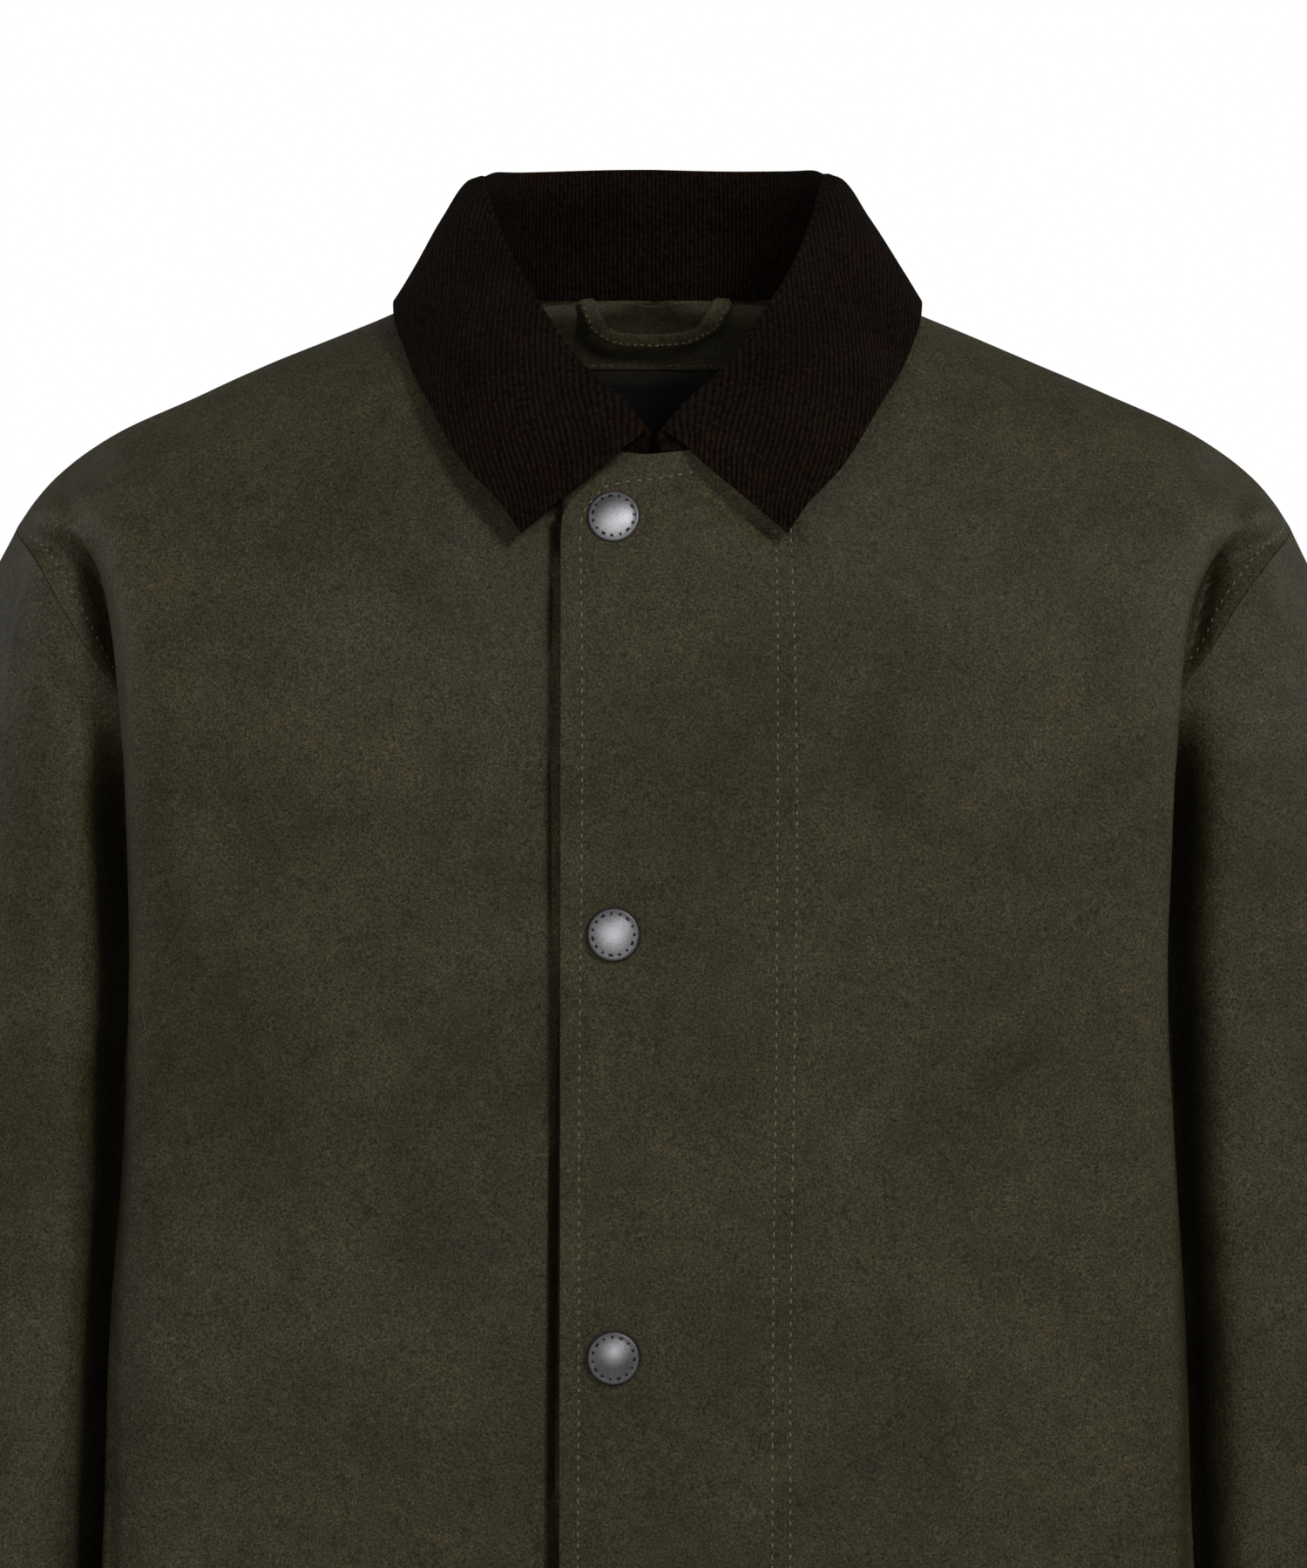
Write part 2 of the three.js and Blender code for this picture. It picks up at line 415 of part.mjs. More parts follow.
// collar: a folded wall on the neckline's own points
function collarGrid() {
  const ff = FRONT_ROWS.findIndex((r) => r.neck === 0), bf = BACK_ROWS.findIndex((r) => r.neck === 0);
  const frontNeck = (h) => h.grid[0].slice(h.places.indexOf(ff)), backNeck = backHalf.grid[0].slice(backHalf.places.indexOf(bf));
  const rows = COLLAR.map((r) => [r.fx, r.fy, r.fz, r.ox, r.oy, r.oz, r.bow, r.stand]);
  const place = COLLAR.map((r) => (r.neck !== undefined ? r.neck : 2 - r.back));
  const table = through(place, rows);
  const section = (n, s) => {
    const q = table(s), F = q.slice(0, 3), O = q.slice(3, 6);
    const a = unit(sub(n, F)), b = unit(sub(O, F)), down = unit(add(a, b)), out = unit(add(b, a, -dot(a, b)));
    const wide = unit(add(out, down, -dot(out, down)));
    const room = Math.min(1, len(sub(n, F)) / 14);
    const i1 = add(add(F, down, 4.2 * room), wide, -FOLD_R), o1 = add(add(F, down, 4.2), wide, FOLD_R);
    const face = unit(cross(sub(table(Math.min(2, s + 0.01)).slice(3, 6), table(Math.max(0, s - 0.01)).slice(3, 6)), b));
    const bow = (f) => add(add(o1, sub(O, o1), f), face, -q[6] * 4 * f * (1 - f));
    const st = (f) => add(add(n, sub(i1, n), f), face, -q[7] * 4 * f * (1 - f));
    return [n, st(0.5), i1, add(F, down, 0.9), o1, bow(0.33), bow(0.67), O];
  };
  const half = (front) => {
    const cols = [];
    const nf = frontNeck(front);
    nf.forEach((n, i) => cols.push(section(n, at9(i))));
    const nb = backNeck.slice().reverse();
    nb.slice(1).forEach((n, i) => cols.push(section(n, 2 - atB(nb.length - 2 - i))));
    return cols;
  };
  const at9 = (i) => rowPlace(FRONT_ROWS, ff, i), atB = (i) => rowPlace(BACK_ROWS, bf, i);
  const cols = [...half(leftHalf), ...mirrored(half(rightHalf)).reverse().slice(1)];
  return cols.map((c) => { const t = thread(c), o = []; for (let k = 0; k < c.length - 1; k++) o.push(t(k)); o.push(t(c.length - 1)); return o; });
}
function rowPlace(rows, first, i) {
  const v = first + i / STEPS_V, r = Math.min(rows.length - 2, Math.floor(v));
  return mix(rows[r].neck, rows[r + 1].neck, v - r);
}
cloth('collar', surface().grid(collarGrid()), CORD, BROWN, { moved: false });

// inside the back neck: facing, yoke lining and label, each lying on the one behind it
function inside(x, z, gap) {
  const e = 0.5, p = (a, b) => [a, backY(a, b), b];
  const n = unit(cross(sub(p(x, z + e), p(x, z - e)), sub(p(x + e, z), p(x - e, z))));
  return add(p(x, z), n, -gap);
}
function patch(xs, zAt, gap) {
  return xs.map((x) => { const [a, b, n] = zAt(x), c = []; for (let i = 0; i <= n; i++) c.push(inside(x, mix(a, b, i / n), gap)); return c; });
}
const span = (a, b, n) => Array.from({ length: n + 1 }, (_, i) => mix(a, b, i / n));
const GAP1 = CLOTH / 2 + 0.9 + LIGHT / 2, GAP2 = GAP1 + LIGHT + 0.4;
cloth('neck_facing', surface().grid(patch(span(-66, 66, 8), (x) => [-1.6 - 3 * Math.pow(Math.abs(x) / 66, 6), -26, 2], GAP1), true), LIGHT, OLIVE_IN, { moved: false });
cloth('back_lining', surface().grid(patch(span(-96, 96, 8), (x) => [-26.4 - 3 * Math.pow(Math.abs(x) / 96, 2), -125, 6], GAP1), true), LIGHT, BLACK, { moved: false });
cloth('label', surface().grid(patch(span(-21, 17, 3), () => [-31.5, -62, 2], GAP2), true), 0.8, BLACK, { moved: false });

// hanger loop: a flat band hung from the neck seam in a shallow U
const LOOP = [
  { x: -28.2, z: -1.6 }, { x: -24.4, z: -6.4 }, { x: -18.2, z: -10.6 }, { x: -9, z: -12.1 }, { x: 3, z: -12.2 },
  { x: 14.5, z: -11 }, { x: 24.2, z: -6 }, { x: 29.6, z: -1.6 },
];
const LOOP_W = 5.4;
{
  const t = thread(LOOP.map((r) => [r.x, 0, r.z])), g = [];
  for (let k = 0; k <= (LOOP.length - 1) * 2; k++) {
    const c = t(k / 2), a = t(Math.max(0, k / 2 - 0.1)), b = t(Math.min(LOOP.length - 1, k / 2 + 0.1));
    const d = unit(sub(b, a)), side = [-d[2], 0, d[0]], arch = Math.sin((Math.PI * k) / ((LOOP.length - 1) * 2));
    g.push([-0.5, 0.5].map((s) => {
      const q = add(c, side, s * LOOP_W), z = Math.min(q[2], -1.3);
      return inside(q[0], z, GAP2 + 0.6 + 2.2 * arch);
    }));
  }
  cloth('hanger_loop', surface().grid(g, false), 1.8, OLIVE_IN, { moved: false });
}

// ---------------------------------------------------------------- solids
function solid(verts, tris) {
  return new wasm.Manifold(new wasm.Mesh({ numProp: 3, vertProperties: new Float32Array(verts.flat()), triVerts: new Uint32Array(tris.flat()) }));
}
function geometry(verts, tris) {
  const g = new THREE.BufferGeometry();
  g.setAttribute('position', new THREE.Float32BufferAttribute(verts.flat(), 3));
  g.setIndex(tris.flat());
  g.computeVertexNormals();
  return g;
}
const jacket = new THREE.Group();
function place(name, geom, look) {
  const mesh = new THREE.Mesh(geom, new THREE.MeshStandardMaterial(look));
  mesh.name = name;
  jacket.add(mesh);
  return mesh;
}

// Press snaps: the cap's shank runs through the left front to its socket; the stud stands on the right front.
const pieces = thicken();
// the outer face of a front under a point, evened over a snap's width
function onCloth(name, x, z) {
  const w = pieces.find((q) => q.name === name);
  const at = (a, b) => {
    let best = Infinity;
    for (let k = 0; k < w.faces; k += 2) {
      const [A, B, C] = w.tris[k].map((i) => w.verts[i]);
      const d = (B[0] - A[0]) * (C[2] - A[2]) - (C[0] - A[0]) * (B[2] - A[2]);
      const u = ((a - A[0]) * (C[2] - A[2]) - (C[0] - A[0]) * (b - A[2])) / d, v = ((B[0] - A[0]) * (b - A[2]) - (a - A[0]) * (B[2] - A[2])) / d;
      if (u >= -1e-6 && v >= -1e-6 && u + v <= 1 + 1e-6) best = Math.min(best, A[1] + u * (B[1] - A[1]) + v * (C[1] - A[1]));
    }
    return best;
  };
  const r = 5, e = at(x + r, z), f = at(x - r, z), g = at(x, z + r), h = at(x, z - r);
  return { p: [x, (e + f + g + h + 2 * at(x, z)) / 6, z], n: unit([(e - f) / (2 * r), -1, (g - h) / (2 * r)]) };
}
const lathe = (profile, sides) => new THREE.LatheGeometry(profile.map(([r, h]) => new THREE.Vector2(r, h)), sides);
const holes = SNAP.levels.map((z) => onCloth('front_left', SNAP.x, z));
// drill the shank's clearance hole square to the cloth
function drill(piece, list, r) {
  let s = solid(piece.verts, piece.tris);
  for (const h of list) {
    const v = [], t = [], n = 10, q = new THREE.Quaternion().setFromUnitVectors(new THREE.Vector3(0, 1, 0), new THREE.Vector3(...h.n));
    for (const d of [3, -4.2]) for (let i = 0; i < n; i++) {
      const a = (i / n) * 2 * Math.PI, c = new THREE.Vector3(r * Math.cos(a), d, r * Math.sin(a)).applyQuaternion(q);
      v.push(add(h.p, [c.x, c.y, c.z]));
    }
    for (let i = 0; i < n; i++) { const j = (i + 1) % n; t.push([i, j, n + j], [i, n + j, n + i]); }
    for (let i = 1; i < n - 1; i++) { t.push([0, i + 1, i], [n, n + i, n + i + 1]); }
    let c = solid(v, t);
    if (c.volume() < 0) c = solid(v, t.map((q) => [q[0], q[2], q[1]]));
    s = s.subtract(c);
  }
  const m = s.getMesh(), verts = [], tris = [];
  for (let i = 0; i < m.vertProperties.length / m.numProp; i++) verts.push(Array.from(m.vertProperties.slice(i * m.numProp, i * m.numProp + 3)));
  for (let i = 0; i < m.triVerts.length / 3; i++) tris.push(Array.from(m.triVerts.slice(i * 3, i * 3 + 3)));
  return { ...piece, verts, tris };
}

for (const w of pieces) {
  const p = w.name === 'front_left' ? drill(w, holes, SNAP.shank + 0.35) : w;
  place(p.name, geometry(p.verts, p.tris), p.look);
}

const seat = (mesh, { p, n }) => {
  mesh.position.set(...p);
  mesh.quaternion.setFromUnitVectors(new THREE.Vector3(0, 1, 0), new THREE.Vector3(...n));
};
holes.forEach((h, i) => {
  const c = SNAP, b = CLOTH + 0.45;      // profile heights run outward from the cloth's outer face
  const cap = lathe([
    [0, -b - 0.5], [2.3, -b - 0.5], [2.3, -b - 1.4], [c.socket, -b - 1.4], [c.socket, -b], [c.shank, -b], [c.shank, 0.35],
    [c.cap, 0.35], [c.cap, 1.5], [c.cap * 0.75, c.rise - 0.7], [0, c.rise],
  ], 14);
  seat(place(`snap_${i + 1}`, cap, METAL), h);
  const drop = 2 * LAP * (h.n[2] / Math.abs(h.n[1])), under = onCloth('front_right', c.x, h.p[2] - drop);
  const stud = lathe([[0, 0.35], [4.2, 0.35], [4.2, 0.9], [1.9, 0.9], [1.9, 1.9], [0, 1.9]], 10);
  seat(place(`stud_${i + 1}`, stud, METAL), under);
});

export default jacket;
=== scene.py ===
import math
import bpy
import numpy as np
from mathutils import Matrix, Quaternion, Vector
from mathutils.bvhtree import BVHTree
from mathutils.kdtree import KDTree


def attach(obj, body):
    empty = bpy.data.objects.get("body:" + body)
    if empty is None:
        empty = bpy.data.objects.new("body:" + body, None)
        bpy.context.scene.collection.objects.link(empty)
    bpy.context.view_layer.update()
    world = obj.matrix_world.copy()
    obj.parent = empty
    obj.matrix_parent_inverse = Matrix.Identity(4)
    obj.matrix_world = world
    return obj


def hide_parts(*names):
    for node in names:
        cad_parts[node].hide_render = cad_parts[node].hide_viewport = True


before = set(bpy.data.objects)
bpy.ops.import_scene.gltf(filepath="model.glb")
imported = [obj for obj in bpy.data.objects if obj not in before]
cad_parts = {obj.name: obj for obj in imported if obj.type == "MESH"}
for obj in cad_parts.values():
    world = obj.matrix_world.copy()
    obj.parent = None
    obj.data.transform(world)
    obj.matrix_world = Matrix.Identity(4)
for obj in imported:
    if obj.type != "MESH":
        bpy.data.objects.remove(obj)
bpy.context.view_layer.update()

MM = 0.001
rng = np.random.default_rng(7)

# ------------------------------------------------------------------ camera, light, floor
scene = bpy.context.scene
scene.view_settings.view_transform = "Standard"
scene.view_settings.look = "None"
cam_data = bpy.data.cameras.new("camera")
cam_data.sensor_fit = "AUTO"
cam_data.sensor_width = 36.0
cam_data.lens = 36.0 * 3500.0 / 593.67
cam_data.clip_end = 60
cam = bpy.data.objects.new("camera", cam_data)
cam.location = (-0.00033, -3.618, -0.1923)
cam.rotation_euler = (math.radians(90), 0, 0)
scene.collection.objects.link(cam)
scene.camera = cam

world = bpy.data.worlds.new("studio")
scene.world = world
world.use_nodes = True
wt = world.node_tree
wt.nodes.clear()
w_out = wt.nodes.new("ShaderNodeOutputWorld")
w_mix = wt.nodes.new("ShaderNodeMixShader")
w_path = wt.nodes.new("ShaderNodeLightPath")
w_lit = wt.nodes.new("ShaderNodeBackground")
w_lit.inputs["Color"].default_value = (1, 1, 1, 1)
w_lit.inputs["Strength"].default_value = 0.17
w_seen = wt.nodes.new("ShaderNodeBackground")
w_seen.inputs["Color"].default_value = (1, 1, 1, 1)
w_seen.inputs["Strength"].default_value = 1.0
wt.links.new(w_path.outputs["Is Camera Ray"], w_mix.inputs["Fac"])
wt.links.new(w_lit.outputs[0], w_mix.inputs[1])
wt.links.new(w_seen.outputs[0], w_mix.inputs[2])
wt.links.new(w_mix.outputs[0], w_out.inputs["Surface"])


def area_light(name, loc, target, size, size_y, power):
    d = bpy.data.lights.new(name, "AREA")
    d.shape = "RECTANGLE"
    d.size, d.size_y, d.energy = size, size_y, power
    o = bpy.data.objects.new(name, d)
    o.location = loc
    o.rotation_euler = (Vector(target) - Vector(loc)).to_track_quat("-Z", "Y").to_euler()
    scene.collection.objects.link(o)
    return o


area_light("key", (1.6, -2.5, 1.6), (0, 0, -0.3), 0.7, 0.7, 92)
area_light("fill", (-1.5, -3.0, 0.5), (0, 0, -0.35), 1.6, 1.8, 28)
area_light("front", (0.1, -3.3, -0.05), (0, 0, -0.35), 0.5, 0.5, 12)
area_light("rim_left", (-2.2, 0.5, 0.7), (-0.1, 0, -0.2), 0.8, 1.6, 26)
area_light("rim_right", (2.2, 0.5, 0.7), (0.1, 0, -0.2), 0.8, 1.6, 26)
area_light("top", (0, -0.4, 2.1), (0, 0, 0), 1.8, 1.2, 5)

# ------------------------------------------------------------------ the jacket's form, in millimetres
CLOTH, CORD, LIGHT = 1.3, 2.3, 0.8
SEAM = 0.12
LAP, LAP_EDGE, UNDER_EDGE = 2.4, 35.6, 22.0
NECK_X, NECK_Y, NECK_Z = 80.0, 3.0, 1.0
ROUND, FRONT_ROLL, BACK_ROLL = 2.1, -200.0, -150.0
SNAP_X, SNAP_LEVELS, SNAP_R = -15.5, [-90.8, -249.2, -409.3, -568.5, -727.7], 9.7
UNDERARM, FOLD_R = 2.0, 2.6

RIDGE = [  # x, z
    (80, 1), (101, -7.3), (122, -16.8), (158, -32.2), (193, -47.5), (213.5, -57.7), (228.5, -68), (239.4, -78.2), (248.7, -91.5)]
FRONT_PLAN = [  # z, depth at the centre, fold x, depth by the fold
    (-770, -121, 213, -64), (-650, -121, 212, -84), (-490, -121, 209.2, -103), (-420, -120, 206.5, -105),
    (-330, -119, 202, -105), (-262, -118, 199.2, -105), (-209, -118, 201.3, -105), (-160, -118, 204.5, -105),
    (-126, -118, 208.8, -105), (-109, -118, 213.4, -104), (-94.5, -118, 221.7, -102), (-60, -118, 236, -97)]
BACK_PLAN = [
    (-770, 112, 203, 64), (-650, 103, 198, 64), (-490, 91, 191, 64), (-350, 92, 180, 74), (-262, 96, 178, 80),
    (-200, 98, 185, 83), (-150, 98, 200, 84), (-100, 98, 216, 82), (-60, 98, 236, 80)]
ARMHOLE_FRONT = [
    (248.7, 3, -91.5), (244.5, -42, -98), (237.5, -60, -107), (228.5, -68, -123), (218.5, -72, -139.5),
    (207.5, -74, -154.5), (190, -70, -183), (175, -50, -226), (167.5, -26, -253), (166, 0, -262)]
ARMHOLE_BACK = [
    (248.7, 3, -91.5), (245, 38, -98), (237, 55, -112), (223, 67, -140), (204, 70, -177), (184, 60, -217),
    (170, 30, -252), (166, 0, -262)]
SIDE_SEAM = [
    (166, 0, -262), (161.8, 0.5, -272), (160.5, 1, -290), (161, 3, -350), (165.5, 5, -410), (173, 6, -500),
    (188, 6, -650), (203, 6, -770)]
NECK_FRONT = [(2.5, -66.3), (18, -64.5), (37, -55), (53, -41), (66.5, -24.5), (75.5, -10), (80, 1)]
NECK_BACK = [(0, 58, 0), (28, 56.5, 0), (52, 46, 0.2), (71, 27, 0.8), (80, 3, 1)]


def frow(in_z=None, neck=None, fold=None, v=None, side=None, arm=None, seam=False):
    return dict(in_z=in_z, neck=neck, fold=fold, v=v, side=side, arm=arm, seam=seam)


FRONT_ROWS = [
    frow(-770, None, -770, (213, -30, -770), side=-770), frow(-640, None, -648, (206, -44, -650), side=-650),
    frow(-480, None, -492, (189, -62, -498), side=-500), frow(-372, None, -398, (180, -68, -408), side=-410),
    frow(-292, None, -330, (175, -72, -345), side=-350), frow(-236, None, -278, (173, -74, -284), side=-286),
    frow(-205, None, -258, (174, -75, -264), side=-262), frow(-146, None, -222, (181, -80, -230), arm=0.845),
    frow(-91, None, -188, (187, -82, -192), arm=0.68), frow(-73.5, None, -158, (193, -72, -160), arm=0.555),
    frow(None, 0, -130, (203, -63, -134), arm=0.40), frow(None, 0.36, -108, (212, -62, -112), arm=0.265),
    frow(None, 0.72, -91, (229, -58, -92), arm=0.14), frow(None, 1, seam=True)]
BACK_ROWS = [
    frow(-770, None, -770, (209, 36, -770), side=-770), frow(-648, None, -650, (197, 38, -650), side=-650),
    frow(-496, None, -500, (182, 40, -500), side=-500), frow(-404, None, -408, (174, 44, -410), side=-410),
    frow(-334, None, -346, (169, 46, -350), side=-350), frow(-256, None, -280, (168, 47, -286), side=-286),
    frow(-216, None, -256, (168, 48, -264), side=-262), frow(-140, None, -206, (178, 69, -214), arm=0.78),
    frow(-84, None, -172, (198, 77, -176), arm=0.58), frow(-56, None, -156, (205, 77, -160), arm=0.5),
    frow(-40, None, -146, (210, 77, -150), arm=0.455), frow(-26, None, -138, (215, 76, -142), arm=0.42),
    frow(None, 0, -126, (219, 75, -128), arm=0.36), frow(None, 0.4, -100, (231, 64, -100), arm=0.2),
    frow(None, 1, seam=True)]
SLEEVE = [  # outer x z, inner x z, front y, back y
    (256.8, -110, 175.5, -274, -80, 75), (268.5, -156, 174.5, -300, -85, 76), (279, -236, 175.5, -345, -87, 73),
    (289, -335, 177, -410, -90, 66), (298, -460, 189, -492, -93, 52), (307, -590, 204, -598, -95, 36),
    (315, -700, 220, -702, -96, 20)]
COLLAR = [  # place on the neckline (0-1 front, 1-2 back), fold x y z, outer edge x y z, bow of the fall, of the stand
    (0, 2.6, -98.5, -57.5, 50.6, -113.5, -97, 1, 0), (0.20, 11, -92.5, -47, 59.5, -110.5, -84, 2, 0.5),
    (0.42, 27.4, -80, -31.6, 73, -102.5, -69.5, 3, 1), (0.62, 42, -62, -11.5, 86.8, -86, -47, 3.5, 1.5),
    (0.78, 55.5, -37, 12, 96, -67, -31.5, 3.5, 2), (0.90, 62.8, -16, 30, 102, -49.5, -15, 3, 2),
    (0.95, 65, -6, 38, 103, -29, -6.8, 2.2, 2), (1.0, 66.5, 5, 44.5, 103, -6, -4.2, 1.5, 2),
    (1.20, 65.5, 22, 48.8, 101, 34, -8, 2, 2), (1.45, 53, 40, 50, 84, 62, -11, 3.5, 2),
    (1.72, 29, 52.5, 50.8, 46, 73.5, -12.5, 4, 1.5), (2.0, 0, 56, 51.3, 0, 77, -13, 4, 1)]

STEPS_U = [38, 16, 12, 10, 9, 11, 12]
NV_LOW = [24, 30, 18, 12, 12, 7]
NV_TOP = 8


def smooth(a, b, x):
    t = np.clip((np.asarray(x, float) - a) / (b - a), 0, 1)
    return t * t * (3 - 2 * t)


def mix(a, b, t):
    return a + (b - a) * t


def through(t, p):
    t, p = np.asarray(t, float), np.asarray(p, float)
    if p.ndim == 1:
        p = p[:, None]
    h = np.diff(t)
    d = np.diff(p, axis=0) / h[:, None]
    m = np.empty_like(p)
    m[0], m[-1] = d[0], d[-1]
    if len(t) > 2:
        m[1:-1] = (d[:-1] * h[1:, None] + d[1:] * h[:-1, None]) / (h[1:] + h[:-1])[:, None]

    def f(x):
        x = np.atleast_1d(np.asarray(x, float))
        i = np.clip(np.searchsorted(t, x, side="left") - 1, 0, len(t) - 2)
        u = np.clip((x - t[i]) / h[i], 0, 1)[:, None]
        u2, u3, hh = u * u, u * u * u, h[i][:, None]
        return p[i] * (2 * u3 - 3 * u2 + 1) + p[i + 1] * (3 * u2 - 2 * u3) + hh * (m[i] * (u3 - 2 * u2 + u) + m[i + 1] * (u3 - u2))
    return f


def thread(points):
    points = np.asarray(points, float)
    t = np.concatenate([[0], np.cumsum(np.maximum(1e-3, np.linalg.norm(np.diff(points, axis=0), axis=1)))])
    f = through(t, points)

    def g(k):
        k = np.atleast_1d(np.asarray(k, float))
        i = np.minimum(len(points) - 2, np.floor(k).astype(int))
        return f(t[i] + (t[i + 1] - t[i]) * (k - i))
    return g


def by_length(points):
    points = np.asarray(points, float)
    t = np.concatenate([[0], np.cumsum(np.linalg.norm(np.diff(points, axis=0), axis=1))])
    return through(t / t[-1], points)


def col(rows, a, b):
    f = through([r[a] for r in rows], [r[b] for r in rows])
    return lambda v: f(np.ravel(v))[:, 0].reshape(np.shape(v))


ridge_at = col(RIDGE, 0, 1)
fy, fx, fc = col(FRONT_PLAN, 0, 1), col(FRONT_PLAN, 0, 2), col(FRONT_PLAN, 0, 3)
by, bx, bc = col(BACK_PLAN, 0, 1), col(BACK_PLAN, 0, 2), col(BACK_PLAN, 0, 3)


def ridge_z(x, inner):
    x = np.asarray(x, float)
    return np.where(x < NECK_X, NECK_Z + (NECK_X - x) * inner, ridge_at(np.clip(x, NECK_X, 248.7)))


def roll(z, start, top):
    r = np.clip((z - start) / (top - start), 0, 1)
    return np.power(np.maximum(0, 1 - np.power(r, ROUND)), 1 / ROUND)


def front_y(x, z):
    a, z = np.abs(np.asarray(x, float)), np.asarray(z, float)
    zz = np.clip(z, -770, -60) + 0 * a
    return (fy(zz) + (fc(zz) - fy(zz)) * (a / fx(zz)) ** 3) * roll(z, FRONT_ROLL, ridge_z(a, 0.3))


def back_y(x, z):
    a, z = np.abs(np.asarray(x, float)), np.asarray(z, float)
    zz = np.clip(z, -770, -60) + 0 * a
    return (by(zz) + (bc(zz) - by(zz)) * (a / bx(zz)) ** 3) * roll(z, BACK_ROLL, ridge_z(a, 0.39))


def lap(x):
    return LAP * (1 - smooth(42, 92, x))


shoulder_seam = by_length([(x, 3, z) for x, z in RIDGE])
arm_front, arm_back = by_length(ARMHOLE_FRONT), by_length(ARMHOLE_BACK)
_side = through([-p[2] for p in SIDE_SEAM], SIDE_SEAM)
side_seam = lambda z: _side(-np.asarray(z, float))
neck_front = by_length([(x, NECK_Y if i == len(NECK_FRONT) - 1 else float(front_y(x, z)), z) for i, (x, z) in enumerate(NECK_FRONT)])
neck_back = by_length(NECK_BACK)


def row_points(row, front, edge, depth, plan_x):
    if row["seam"]:
        return shoulder_seam([0, 0.27, 0.53, 0.75, 0.84, 0.89, 0.945, 1])
    neck, arm = (neck_front, arm_front) if front else (neck_back, arm_back)
    start = neck(row["neck"])[0] if row["neck"] is not None else np.array([float(edge(row["in_z"])), 0, row["in_z"]])
    end = side_seam(row["side"])[0] if row["side"] is not None else arm(row["arm"])[0]
    sgn, xc, pts = (-1 if front else 1), float(plan_x(row["fold"])), []
    for s in (0, 0.27, 0.55, 0.8):
        x, z = mix(start[0], xc - 9, s), mix(start[2], row["fold"], s * s * (2 - s))
        pts.append(start if s == 0 and row["neck"] is not None else [x, float(depth(x, z)), z])
    d = float(depth(xc - 9, row["fold"]))
    pts += [[xc - 9, d, row["fold"]], [xc, d - sgn * 9, row["fold"]], row["v"], end]
    return np.array(pts, float)


def half_panel(rows, front, edge, depth, plan_x, shift, nvs):
    us = np.concatenate([k + np.arange(n) / n for k, n in enumerate(STEPS_U)] + [[len(STEPS_U)]])
    rows_at = np.array([thread(row_points(r, front, edge, depth, plan_x))(us) for r in rows])      # row, u, 3
    places = np.concatenate([r + np.arange(n) / n for r, n in enumerate(nvs)] + [[len(rows) - 1]])
    grid = np.array([thread(rows_at[:, i])(places) for i in range(len(us))])                       # u, v, 3
    k = np.where((us < 3.9)[:, None] & (places < len(rows) - 1)[None, :], (1 - smooth(3, 3.9, us))[:, None], 0)
    grid[:, :, 1] = mix(grid[:, :, 1], depth(grid[:, :, 0], grid[:, :, 2]), k)
    neck, arm = (neck_front, arm_front) if front else (neck_back, arm_back)
    for j, v in enumerate(places):
        if v >= len(rows) - 1:
            continue
        r = min(len(rows) - 2, int(v))
        a, b, f = rows[r], rows[r + 1], v - r
        if b["side"] is not None:
            end = side_seam(mix(a["side"], b["side"], f))[0]
        else:
            pl = lambda q: 1.0 if q["side"] is not None else 0.0 if q["seam"] else q["arm"]
            end = arm(mix(pl(a), pl(b), f))[0]
        grid[:, j] += (end - grid[-1, j])[None, :] * np.where(us > 6, smooth(6, 7, us), 0)[:, None]
        if a["neck"] is not None:
            start = neck(mix(a["neck"], b["neck"], f))[0]
        else:
            z = grid[0, j, 2]
            x = float(edge(z))
            start = np.array([x, float(depth(x, z)), z])
        grid[:, j] += (start - grid[0, j])[None, :] * np.where(us < 1, 1 - smooth(0, 1, us), 0)[:, None]
    if shift:
        grid[:, :, 1] += shift(grid[:, :, 0])
    return grid, us, places


def mirrored(g):
    return g * np.array([-1.0, 1, 1])


def settle(P):
    x, y, z = P[..., 0], P[..., 1], P[..., 2]
    k = smooth(90, 190, x) * (1 - smooth(228, 256, x)) * (1 - smooth(-128, -92, z)) * smooth(-700, -560, z) * (1 - smooth(-40, 30, y))
    out = P.copy()
    out[..., 0] -= 4.2 * k
    return out


